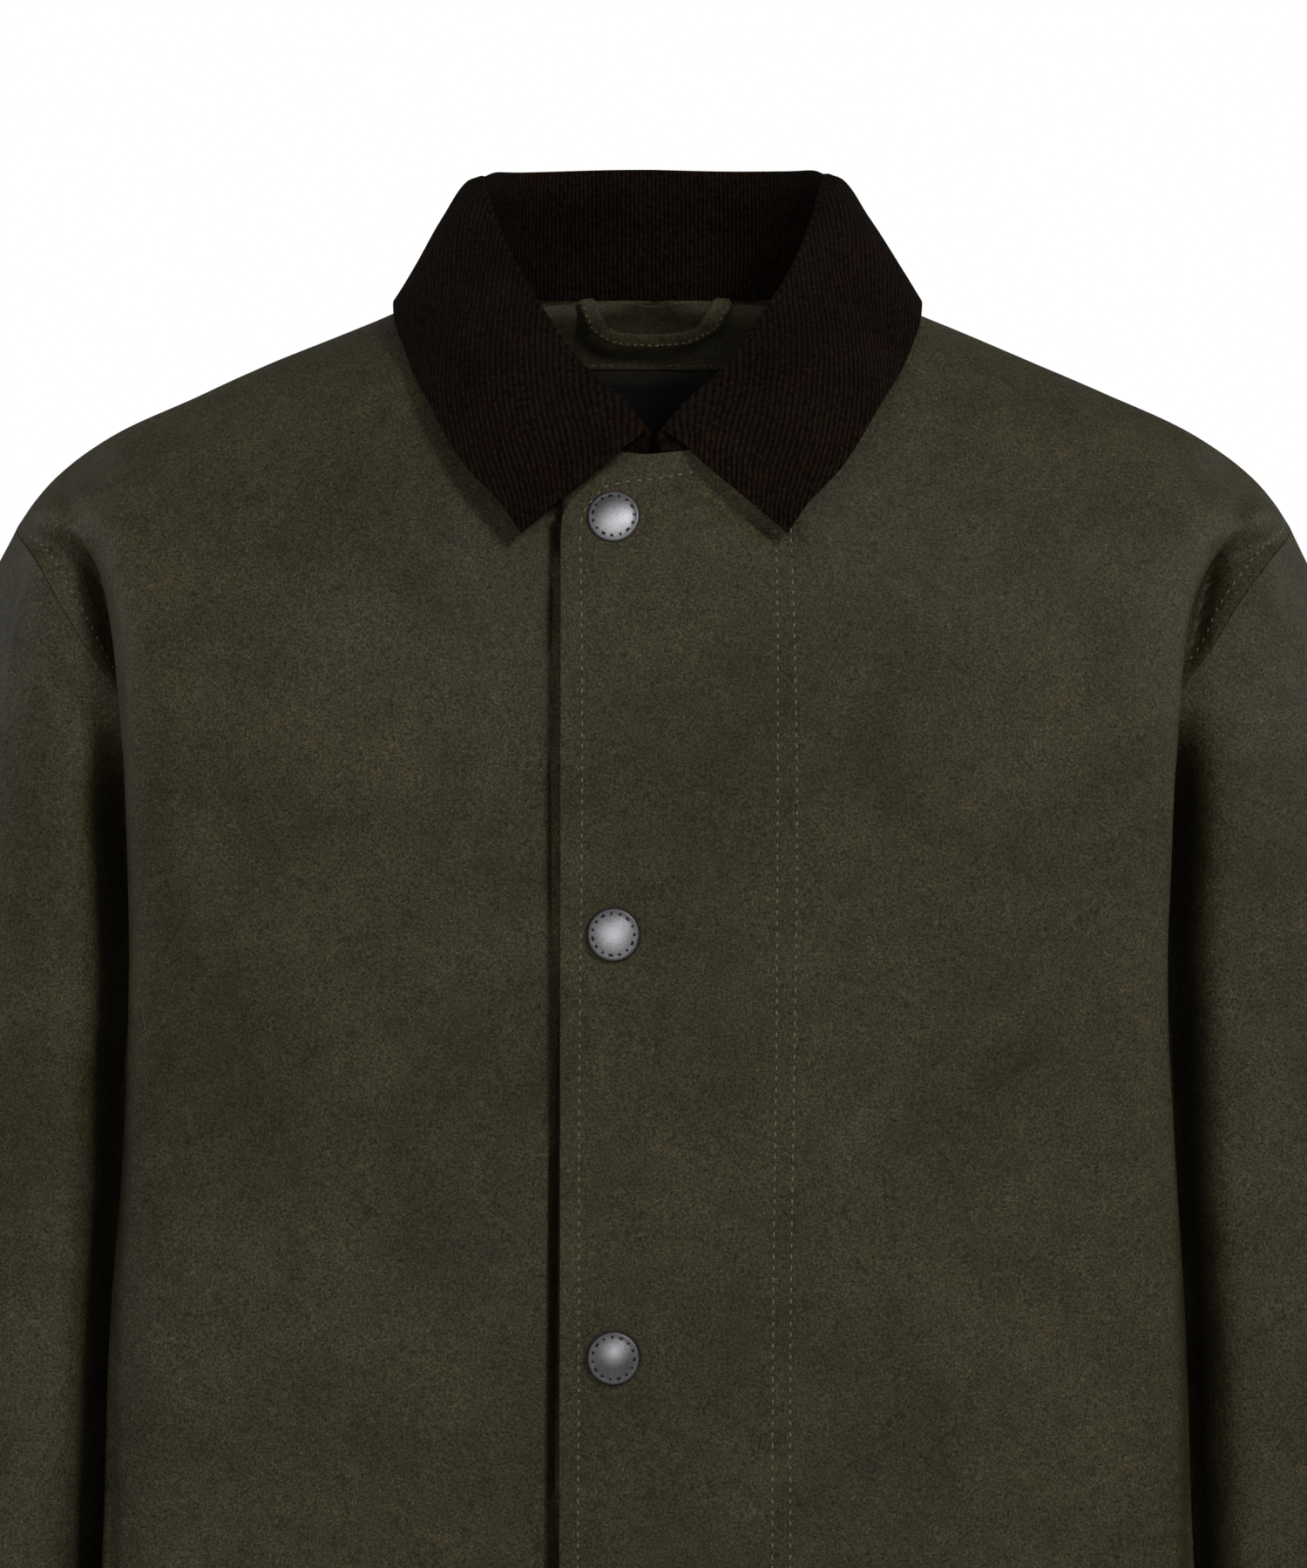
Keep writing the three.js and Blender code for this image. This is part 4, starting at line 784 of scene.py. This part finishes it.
def plain_weave(name, dark, light, size=0.0011):
    m, nt, p = material(name)
    co = nt.nodes.new("ShaderNodeTexCoord").outputs["Object"]
    sep = nt.nodes.new("ShaderNodeSeparateXYZ")
    nt.links.new(co, sep.inputs[0])
    wv = math_node(nt, "MULTIPLY", math_node(nt, "SINE", math_node(nt, "MULTIPLY", sep.outputs[2], 2 * math.pi / size)),
                   math_node(nt, "SINE", math_node(nt, "MULTIPLY", sep.outputs[0], 2 * math.pi / size)))
    n = noise(nt, co, 400, 3)
    base = ramp(nt, n, [(0.3, dark), (0.7, light)])
    nt.links.new(base, p.inputs["Base Color"])
    p.inputs["Roughness"].default_value = 0.75
    p.inputs["Specular IOR Level"].default_value = 0.15
    b = node(nt, "ShaderNodeBump", Strength=0.4, Distance=0.0003)
    nt.links.new(math_node(nt, "ADD", wv, n), b.inputs["Height"])
    nt.links.new(b.outputs[0], p.inputs["Normal"])
    return m


def metal(name, c, rough=0.36, domes=False):
    m, nt, p = material(name)
    co = nt.nodes.new("ShaderNodeTexCoord").outputs["Object"]
    n = noise(nt, co, 1400, 4, 0.7)
    base = ramp(nt, n, [(0.3, tuple(v * 0.72 for v in c)), (0.7, tuple(v * 1.25 for v in c))])
    if domes:                                        # painted highlight in the middle of each cap and painted shade towards its rim, the centre set a little off on each snap; the lower three snaps painted darker, painted shade
        sep = nt.nodes.new("ShaderNodeSeparateXYZ")
        nt.links.new(co, sep.inputs[0])
        dz = None
        for z, shift in zip(SNAP_LEVELS, (-1.6, -1.0, 2.4, -0.6, 1.8)):
            a = math_node(nt, "ABSOLUTE", math_node(nt, "SUBTRACT", sep.outputs[2], (z + shift) * MM))
            dz = a if dz is None else math_node(nt, "MINIMUM", dz, a)
        dx = math_node(nt, "SUBTRACT", sep.outputs[0], (SNAP_X + 0.3) * MM)
        d = math_node(nt, "SQRT", math_node(nt, "ADD", math_node(nt, "MULTIPLY", dx, dx), math_node(nt, "MULTIPLY", dz, dz)))
        d = math_node(nt, "MULTIPLY", d, 1 / (SNAP_R * MM))
        low = math_node(nt, "GREATER_THAN", sep.outputs[2], 0.5 * (SNAP_LEVELS[1] + SNAP_LEVELS[2]) * MM)
        d = math_node(nt, "ADD", d, math_node(nt, "MULTIPLY", math_node(nt, "SUBTRACT", 1.0, low), 0.34))
        # painted highlight and shade, as a factor on the metal's colour
        painted_highlight_and_shade = ramp(nt, d, [(0.0, (2.15, 2.15, 2.15)), (0.22, (1.95, 1.95, 1.95)), (0.45, (1.42, 1.42, 1.42)), (0.68, (0.88, 0.88, 0.88)),
                           (0.86, (0.56, 0.56, 0.56)), (1.0, (0.42, 0.42, 0.42))])
        base = mix_rgb(nt, "MULTIPLY", 1.0, base, painted_highlight_and_shade)
    nt.links.new(base, p.inputs["Base Color"])
    p.inputs["Metallic"].default_value = 1.0
    nt.links.new(math_node(nt, "ADD", math_node(nt, "MULTIPLY", n, 0.25), rough - 0.1), p.inputs["Roughness"])
    b = node(nt, "ShaderNodeBump", Strength=0.25, Distance=0.0001)
    nt.links.new(n, b.inputs["Height"])
    nt.links.new(b.outputs[0], p.inputs["Normal"])
    return m


M_WAX = waxed("waxed_cotton_look", (0.0148, 0.0128, 0.0060), (0.0300, 0.0264, 0.0142), 1.8)
M_FACE = waxed("facing_look", (0.0150, 0.0130, 0.0068), (0.0290, 0.0250, 0.0140), 1.0)
# the facing's waxed cotton made lighter for the hanger loop: painted light on the loop, which stands off the facing
M_LOOP = waxed("loop_look", (0.0190, 0.0168, 0.0088), (0.0390, 0.0344, 0.0190), 1.4)
M_CORD = corduroy("corduroy_look")
M_LINE = plain_weave("lining_look", (0.0060, 0.0050, 0.0034), (0.0100, 0.0084, 0.0058))
M_LABEL = plain_weave("label_look", (0.0010, 0.0010, 0.0010), (0.0022, 0.0021, 0.0021), 0.0007)
M_THREAD = thread_mat("thread_look", (0.088, 0.077, 0.042))
M_THREAD_S = thread_mat("seam_thread_look", (0.074, 0.064, 0.036))
M_THREAD_D = thread_mat("collar_thread_look", (0.060, 0.048, 0.034))
M_METAL = metal("gunmetal_look", (0.182, 0.178, 0.186), 0.47, domes=True)
M_STUD = metal("stud_look", (0.262, 0.256, 0.266), 0.40)
# near-black metal for the marks round each rim, and for the painted shadow ring under each cap
M_DARK = metal("snap_mark_and_painted_shadow_look", (0.02, 0.02, 0.02), 0.6)


def finish_piece(o, mat, slot, *nodes):
    o.data.materials.clear()
    o.data.materials.append(mat)
    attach(o, "root")
    if nodes:
        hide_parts(*nodes)


for name in ("front_left", "front_right", "back", "sleeve_left", "sleeve_right"):
    finish_piece(S[name].obj, M_WAX, "waxed_cotton", name)
finish_piece(S["collar"].obj, M_CORD, "corduroy", "collar")

# corduroy direction: along the fall, upright on the stand
cs, cobj = S["collar"], S["collar"].obj
nI, nK = collar_g.shape[:2]
stepK = np.linalg.norm(np.diff(collar_g, axis=1), axis=2)
acrossK = np.concatenate([np.zeros((nI, 1)), np.cumsum(stepK, axis=1)], axis=1)
k_fold = int(np.argmin(np.abs(c_places - 3)))
W = acrossK - acrossK[:, k_fold:k_fold + 1]
stepI = np.linalg.norm(np.diff(collar_g, axis=0), axis=2)
alongI = np.concatenate([np.zeros((1, nK)), np.cumsum(stepI, axis=0)], axis=0)
mid_col = len(collar_g) // 2
mid_col = int(np.argmin(np.abs(collar_g[:, k_fold, 0]) + 1000 * (collar_g[:, k_fold, 1] < 0)))
alongI = alongI - alongI[mid_col:mid_col + 1]
A = np.abs(alongI)
fall_u = W - 0.36 * A * A / (A + 60.0)
stand_u = alongI
uvF, uvS = np.zeros((len(cs.P), 2)), np.zeros((len(cs.P), 2))
uvF[cs.map, 0], uvF[cs.map, 1] = fall_u.reshape(-1), A.reshape(-1)
uvS[cs.map, 0], uvS[cs.map, 1] = stand_u.reshape(-1), W.reshape(-1)
wv = np.zeros(len(cs.P))
wv[cs.map] = W.reshape(-1)
me = cobj.data
uvl = me.uv_layers.new(name="grain")
loops = np.empty(len(me.loops), dtype=np.int64)
me.loops.foreach_get("vertex_index", loops)
lv = loops % cs.count
starts = np.empty(len(me.polygons), dtype=np.int64)
totals = np.empty(len(me.polygons), dtype=np.int64)
me.polygons.foreach_get("loop_start", starts)
me.polygons.foreach_get("loop_total", totals)
poly_of = np.repeat(np.arange(len(starts)), totals)
mean_w = np.bincount(poly_of, weights=wv[lv]) / totals
is_stand = (mean_w < -0.4)[poly_of]
uv = np.where(is_stand[:, None], uvS[lv], uvF[lv]) / 100.0      # 1 unit is 100 mm
uvl.data.foreach_set("uv", uv.astype(np.float32).reshape(-1))

# ------------------------------------------------------------------ inside the back neck
bvh = {}


def tree(name):
    if name not in bvh:
        o = S[name].obj
        bvh[name] = BVHTree.FromPolygons([v.co.copy() for v in o.data.vertices], [list(p.vertices) for p in o.data.polygons])
    return bvh[name]


def hit(name, x, z, y0=-300.0, dy=1.0):
    """First point met on a piece, coming along Y; millimetres."""
    for d in (0, 0.02, -0.03):
        loc, n, _, _ = tree(name).ray_cast(Vector(((x + d) * MM, y0 * MM, (z + d) * MM)), Vector((0, dy, 0)))
        if loc is not None:
            break
    if loc is None:
        return None, None
    n = np.array(n)
    if n[1] * dy > 0:
        n = -n
    return np.array(loc) / MM, n


def strip(name, tag, g, thick):
    """A light piece given as a grid of its middle surface."""
    s = Surf(name, tag, [(g, False, False)], thick, relief_on=False)
    s.normals()
    s.M, s.rim = s.N.copy(), boundary(s.Q)
    build(s)
    return s


def inner_surface(x, z, gap):
    p, n = hit("back", x, z, y0=-20.0)
    return p + n * gap


def inside_grid(xs, z_of, nz, gap, bulge=None):
    g = []
    for x in xs:
        a, b = z_of(x)
        c = []
        for i in range(nz + 1):
            z = mix(a, b, i / nz)
            extra = bulge(x, z, i / nz) if bulge else 0
            c.append(inner_surface(x, z, gap + extra))
        g.append(c)
    return np.array(g)


FACE_GAP, LINE_GAP = 1.3, 1.2
facing = strip("neck_facing", "N", inside_grid(np.linspace(-66, 66, 45), lambda x: (-1.6 - 3 * (abs(x) / 66) ** 6, -26), 12, FACE_GAP,
               lambda x, z, f: 0.9 * np.exp(-((f - 1) / 0.10) ** 2) + 0.25 * np.sin(x / 11.0)), LIGHT)
finish_piece(facing.obj, M_FACE, "facing", "neck_facing")
lining = strip("back_lining", "L", inside_grid(np.linspace(-96, 96, 61), lambda x: (-26.5 - 3 * (abs(x) / 96) ** 2, -125), 30, LINE_GAP,
               lambda x, z, f: 0.5 + 0.5 * np.sin(x / 17.0 + z / 23.0) * np.sin(z / 31.0) - 0.3 * np.exp(-((f - 0) / 0.04) ** 2)), LIGHT)
finish_piece(lining.obj, M_LINE, "lining", "back_lining")
label = strip("label", "Z", inside_grid(np.linspace(-21, 17, 20), lambda x: (-31.5, -62), 12, 3.6,
              lambda x, z, f: 0.25 * np.sin(x / 5.0) * f), 0.7)
finish_piece(label.obj, M_LABEL, "label", "label")

LOOP = [(-28.2, -1.6), (-24.4, -6.4), (-18.2, -10.6), (-9, -12.1), (3, -12.2), (14.5, -11), (24.2, -6), (29.6, -1.6)]
lt = thread([(x, 0, z) for x, z in LOOP])
lg, lmid = [], []
NL = 84
for k in range(NL + 1):
    u = k / NL * (len(LOOP) - 1)
    c, a, b = lt(u)[0], lt(max(0, u - 0.05))[0], lt(min(len(LOOP) - 1, u + 0.05))[0]
    d = unit(b - a)
    side, arch = np.array([-d[2], 0, d[0]]), math.sin(math.pi * k / NL)
    colm = []
    for s in np.linspace(-0.5, 0.5, 9):
        q = c + side * s * 5.4
        z = min(q[2], -1.2)
        p = inner_surface(q[0], z, 3.8 + 3.4 * arch + 0.45 * (1 - (2 * s) ** 4) + 0.12 * math.sin(k * 0.9) * arch)
        colm.append(p)
    lg.append(colm)
    lmid.append(colm[5])
loop = strip("hanger_loop", "H", np.array(lg)[::-1], 1.5)
finish_piece(loop.obj, M_LOOP, "facing", "hanger_loop")

# ------------------------------------------------------------------ stitches
caps_V, caps_F = {}, {}


def capsule(key, p, d, n, length, r):
    d = unit(d)
    n = unit(n - d * (n @ d))
    b = np.cross(n, d)
    V, F = caps_V.setdefault(key, []), caps_F.setdefault(key, [])
    base = len(V)
    prof = [(-0.5, 0.15), (-0.36, 0.8), (0, 1.0), (0.36, 0.8), (0.5, 0.15)]
    for t, w in prof:
        lift = -1.1 * r * (abs(t) * 2) ** 3
        for k in range(6):
            a = k * math.pi / 3
            V.append(p + d * t * length + n * (lift + w * r * 0.75 * math.sin(a)) + b * (w * r * math.cos(a)))
    for i in range(len(prof) - 1):
        for k in range(6):
            F.append([base + i * 6 + k, base + (i + 1) * 6 + k, base + (i + 1) * 6 + (k + 1) % 6, base + i * 6 + (k + 1) % 6])
    F.append([base + k for k in range(6)])
    F.append([base + 24 + k for k in reversed(range(6))])


def run_stitches(key, pts, nrm, pitch=4.2, length=2.2, r=0.38):
    pts, nrm = np.asarray(pts), np.asarray(nrm)
    t = np.concatenate([[0], np.cumsum(np.linalg.norm(np.diff(pts, axis=0), axis=1))])
    for k in range(int(t[-1] / pitch)):
        s = (k + 0.5) * pitch + 0.12 * math.sin(k * 2.7)
        p = np.array([np.interp(s, t, pts[:, i]) for i in range(3)])
        q = np.array([np.interp(s + 0.8, t, pts[:, i]) for i in range(3)]) - np.array([np.interp(s - 0.8, t, pts[:, i]) for i in range(3)])
        n = np.array([np.interp(s, t, nrm[:, i]) for i in range(3)])
        if np.linalg.norm(q) < 1e-6:
            continue
        capsule(key, p + unit(n) * 0.10, q, n, length * (0.94 + 0.08 * math.sin(k * 1.9)), r)
        if key in ("front", "seams"):
            # a near-black speck in the gap to the next stitch: painted shade where the thread goes into the cloth
            capsule("hole_shade", p + unit(n) * -0.10 + unit(q) * pitch * 0.5, q, n, pitch - length - 0.5, 0.36)


def on_front(name, xz, step=2.0):
    """A line of x, z on a front's outer face."""
    f = by_length([(x, 0, z) for x, z in xz])
    n = int(sum(math.dist(a, b) for a, b in zip(xz, xz[1:])) / step)
    P, N = [], []
    for p in f(np.linspace(0, 1, n)):
        q, m = hit(name, p[0], p[2])
        if q is not None:
            P.append(q)
            N.append(m)
    return P, N


def grid_points(s, g_shape, offset=0):
    """Outer-face points and normals of a surface's first grid."""
    m = s.map[offset:offset + g_shape[0] * g_shape[1]].reshape(g_shape[:2])
    return s.outer[m], s.M[m]


def seen_points(s, g_shape):
    """Points and normals of whichever face looks to the front."""
    G, N = grid_points(s, g_shape)
    return (G - N * s.thick, -N) if N[..., 1].mean() > 0 else (G, N)


def offset_line(G, N, axis, from_end, dist):
    """A line at a set distance from one edge of a grid."""
    if axis == 1:
        G, N = np.swapaxes(G, 0, 1), np.swapaxes(N, 0, 1)
    if from_end:
        G, N = G[::-1], N[::-1]
    P, M = [], []
    for j in range(G.shape[1]):
        t = np.concatenate([[0], np.cumsum(np.linalg.norm(np.diff(G[:, j], axis=0), axis=1))])
        P.append([np.interp(dist, t, G[:, j, i]) for i in range(3)])
        M.append([np.interp(dist, t, N[:, j, i]) for i in range(3)])
    return np.array(P), np.array(M)


# left front: edge row, then round its cut corner and along the top
run_stitches("front", *on_front("front_left", [(-27.6, -768), (-28.4, -700), (-29.0, -500), (-28.6, -400), (-28.4, -306), (-27.4, -202), (-27.6, -130), (-28.2, -96)]))
run_stitches("front", *on_front("front_left", [(-28.2, -94), (-26.6, -88.5), (-22.6, -83.2), (-19, -79.6), (-12, -77.6), (0, -76.4), (17, -73)]))
for pts in ([(46.4, -768), (44.8, -600), (44.6, -470), (44.9, -395), (46.2, -287), (46.6, -211), (46.2, -100), (45.6, -80)],
            [(51.8, -768), (51.4, -600), (51.4, -470), (51.5, -400), (52.8, -306), (54.0, -211), (53.4, -150), (52.0, -100), (51.4, -80)]):
    run_stitches("front", *on_front("front_left", pts))

for nm, g, pl, rows_n in (("front_left", left_g, pl_f, 6), ("front_right", right_g, pl_f, 6)):
    G, N = grid_points(S[nm], g.shape)
    P, M = offset_line(G, N, 0, True, 7.4)
    j = int(np.where(pl == rows_n)[0][0])
    run_stitches("seams", P[j + 3:-2], M[j + 3:-2])
    P, M = offset_line(G, N, 1, False, 24)
    run_stitches("seams", P[2:-1], M[2:-1])
for k in (0, 1):
    off = k * back_g.shape[0] * back_g.shape[1]
    G, N = grid_points(S["back"], back_g.shape, off)
    P, M = offset_line(G, N, 0, True, 7.4)
    j = int(np.where(pl_b == 6)[0][0])
    run_stitches("seams", P[j + 3:-2], M[j + 3:-2])
    P, M = offset_line(G, N, 1, False, 24)
    run_stitches("seams", P[:-1], M[:-1])
    P, M = offset_line(G, N, 1, True, 6.5)
    run_stitches("seams", P[1:-2], M[1:-2])
for nm in ("sleeve_left", "sleeve_right"):
    G, N = grid_points(S[nm], sleeve_g.shape)
    P, M = offset_line(G, N, 1, True, 26)
    run_stitches("seams", np.vstack([P, P[:1]]), np.vstack([M, M[:1]]))

# collar: round the fall's three edges
G, N = grid_points(S["collar"], collar_g.shape)
P, M = offset_line(G, N, 1, True, 2.2)
run_stitches("collar", P[2:-2], M[2:-2], pitch=3.6, length=2.4, r=0.24)
ke = int(np.argmin(np.abs(c_places - 4.2)))
for from_end in (False, True):
    P, M = offset_line(G[:, ke:], N[:, ke:], 0, from_end, 2.2)
    run_stitches("collar", P[:-4], M[:-4], pitch=3.6, length=2.4, r=0.24)
# loop and facing
GL, NLn = seen_points(loop, np.array(lg).shape)
low_end = GL[:, -1, 2].mean() < GL[:, 0, 2].mean()
P, M = offset_line(GL, NLn, 1, low_end, 1.5)
run_stitches("loop", P[2:-2], M[2:-2], pitch=2.9, length=1.6, r=0.36)
GF, NF = seen_points(facing, (45, 13))
P, M = offset_line(GF, NF, 1, True, 1.6)
run_stitches("loop", P[1:-1], M[1:-1], pitch=3.4, length=2.0, r=0.13)

# near-black for the specks between stitches: painted shade
M_HOLE_SHADE = thread_mat("painted_hole_shade_look", (0.004, 0.0035, 0.002))
STITCH = {"front": (M_THREAD, "waxed_cotton"), "hole_shade": (M_HOLE_SHADE, "waxed_cotton"), "seams": (M_THREAD_S, "waxed_cotton"), "collar": (M_THREAD_D, "corduroy"), "loop": (M_THREAD, "facing")}
for key, (mat, slot_name) in STITCH.items():
    o = link(f"stitches_{key}", make_mesh(f"stitches_{key}", np.array(caps_V[key]), caps_F[key], angle=None))
    finish_piece(o, mat, slot_name)


# ------------------------------------------------------------------ snaps
def lathe(prof, seg):
    V, F = [], []
    for r, h in prof:
        if r < 1e-6:
            V.append((0, 0, h))
        else:
            V += [(r * math.cos(2 * math.pi * k / seg), r * math.sin(2 * math.pi * k / seg), h) for k in range(seg)]
    starts, i = [], 0
    for r, h in prof:
        starts.append((i, r < 1e-6))
        i += 1 if r < 1e-6 else seg
    for (a, pa), (b, pb) in zip(starts, starts[1:]):
        for k in range(seg):
            k2 = (k + 1) % seg
            if pa and not pb:
                F.append([a, b + k, b + k2])
            elif pb and not pa:
                F.append([a + k, b, a + k2][::1])
            else:
                F.append([a + k, b + k, b + k2, a + k2])
    return V, F


R = SNAP_R + 0.35
cap_prof = [(0, -3.3), (5.8, -3.3), (5.8, -1.9), (2.2, -1.9), (2.2, 0.10), (R - 0.8, 0.10), (R - 0.25, 0.2), (R - 0.02, 0.65), (R - 0.1, 1.15),
            (R - 0.5, 1.6), (R - 1.0, 1.78), (R - 1.35, 1.76), (R - 1.6, 1.7), (R - 3.0, 2.12), (R - 4.6, 2.52), (R - 6.4, 2.84), (R - 8.2, 3.0), (0, 3.05)]
snap_objs = []
for i, z in enumerate(SNAP_LEVELS):
    pts = [hit("front_left", SNAP_X + a, z + b)[0] for a, b in ((5, 0), (-5, 0), (0, 5), (0, -5), (0, 0))]
    n = unit(np.array([(pts[0][1] - pts[1][1]) / 10, -1, (pts[2][1] - pts[3][1]) / 10]))
    c = np.array([SNAP_X, max(p[1] for p in pts) - 1.25, z])
    q = Vector((0, 0, 1)).rotation_difference(Vector(n.tolist()))
    q = q @ Quaternion((0, 0, 1), 0.4 * i)
    V, F = lathe(cap_prof, 72)
    # marks round the rim: plain dots and short dashes
    Vm, Fm = [], []
    for k in range(15):
        a = 2 * math.pi * k / 15
        rr, h0 = R - 2.1, 1.85
        wide = (0.5, 0.95, 0.65)[k % 3]
        cx, cy = rr * math.cos(a), rr * math.sin(a)
        rad, tan = np.array([math.cos(a), math.sin(a), 0]), np.array([-math.sin(a), math.cos(a), 0])
        base = len(Vm)
        for hh in (h0 - 0.25, h0 + 0.12):
            for u, w in ((-1, -1), (1, -1), (1, 1), (-1, 1)):
                s = 0.82 if hh > h0 else 1.0
                Vm.append(np.array([cx, cy, hh - 0.16 * w]) + rad * w * 0.58 * s + tan * u * wide * s)
        Fm += [[base + 3, base + 2, base + 1, base], [base + 4, base + 5, base + 6, base + 7]]
        for e in range(4):
            Fm.append([base + e, base + (e + 1) % 4, base + 4 + (e + 1) % 4, base + 4 + e])
    # a dark ring round the cap, just below its rim: painted shadow where the cap meets the cloth
    Ve, Fe = lathe([(R - 1.2, -0.3), (R + 0.12, -0.3), (R + 0.3, 0.0), (R + 0.2, 0.34), (R - 1.2, 0.34), (R - 1.2, -0.3)], 72)
    base = len(Vm)
    Vm += [np.array(v) for v in Ve]
    Fm += [[base + i for i in f] for f in Fe]
    place_pt = lambda vs: [np.array(q @ Vector([float(t) for t in v])) + c for v in vs]
    o = link(f"snap_{i + 1}_cap", make_mesh(f"snap_{i + 1}_cap", np.array(place_pt(V)), F, angle=60))
    finish_piece(o, M_METAL, "snap_metal", f"snap_{i + 1}")
    # the marks and the painted shadow ring, in near-black metal
    o2 = link(f"snap_{i + 1}_marks_and_painted_shadow", make_mesh(f"snap_{i + 1}_marks_and_painted_shadow", np.array(place_pt(Vm)), Fm, angle=30))
    finish_piece(o2, M_DARK, "snap_metal")
    snap_objs += [o, o2]

for i in range(5):
    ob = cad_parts[f"stud_{i + 1}"]
    ob.data.materials.clear()
    ob.data.materials.append(M_STUD)

# ------------------------------------------------------------------ floor
bpy.ops.mesh.primitive_plane_add(size=24, location=(0, 0, -1.45))
floor = bpy.context.object
floor.name = "floor"
fm, fnt, fp = material("floor_look")
fp.inputs["Base Color"].default_value = (0.86, 0.86, 0.86, 1)
fp.inputs["Roughness"].default_value = 0.9
floor.data.materials.append(fm)


# ------------------------------------------------------------------ the cloth's cut sizes
def middle_area(s):
    P, Q = s.P, s.Q
    n = np.cross(P[Q[:, 2]] - P[Q[:, 0]], P[Q[:, 3]] - P[Q[:, 1]])
    return float(np.linalg.norm(n, axis=1).sum() / 2 * 1e-6)


areas = {k: middle_area(s) for k, s in S.items()}
areas.update(facing=middle_area(facing), lining=middle_area(lining), label=middle_area(label), loop=middle_area(loop))
print("cloth areas m2", {k: round(v, 4) for k, v in areas.items()})
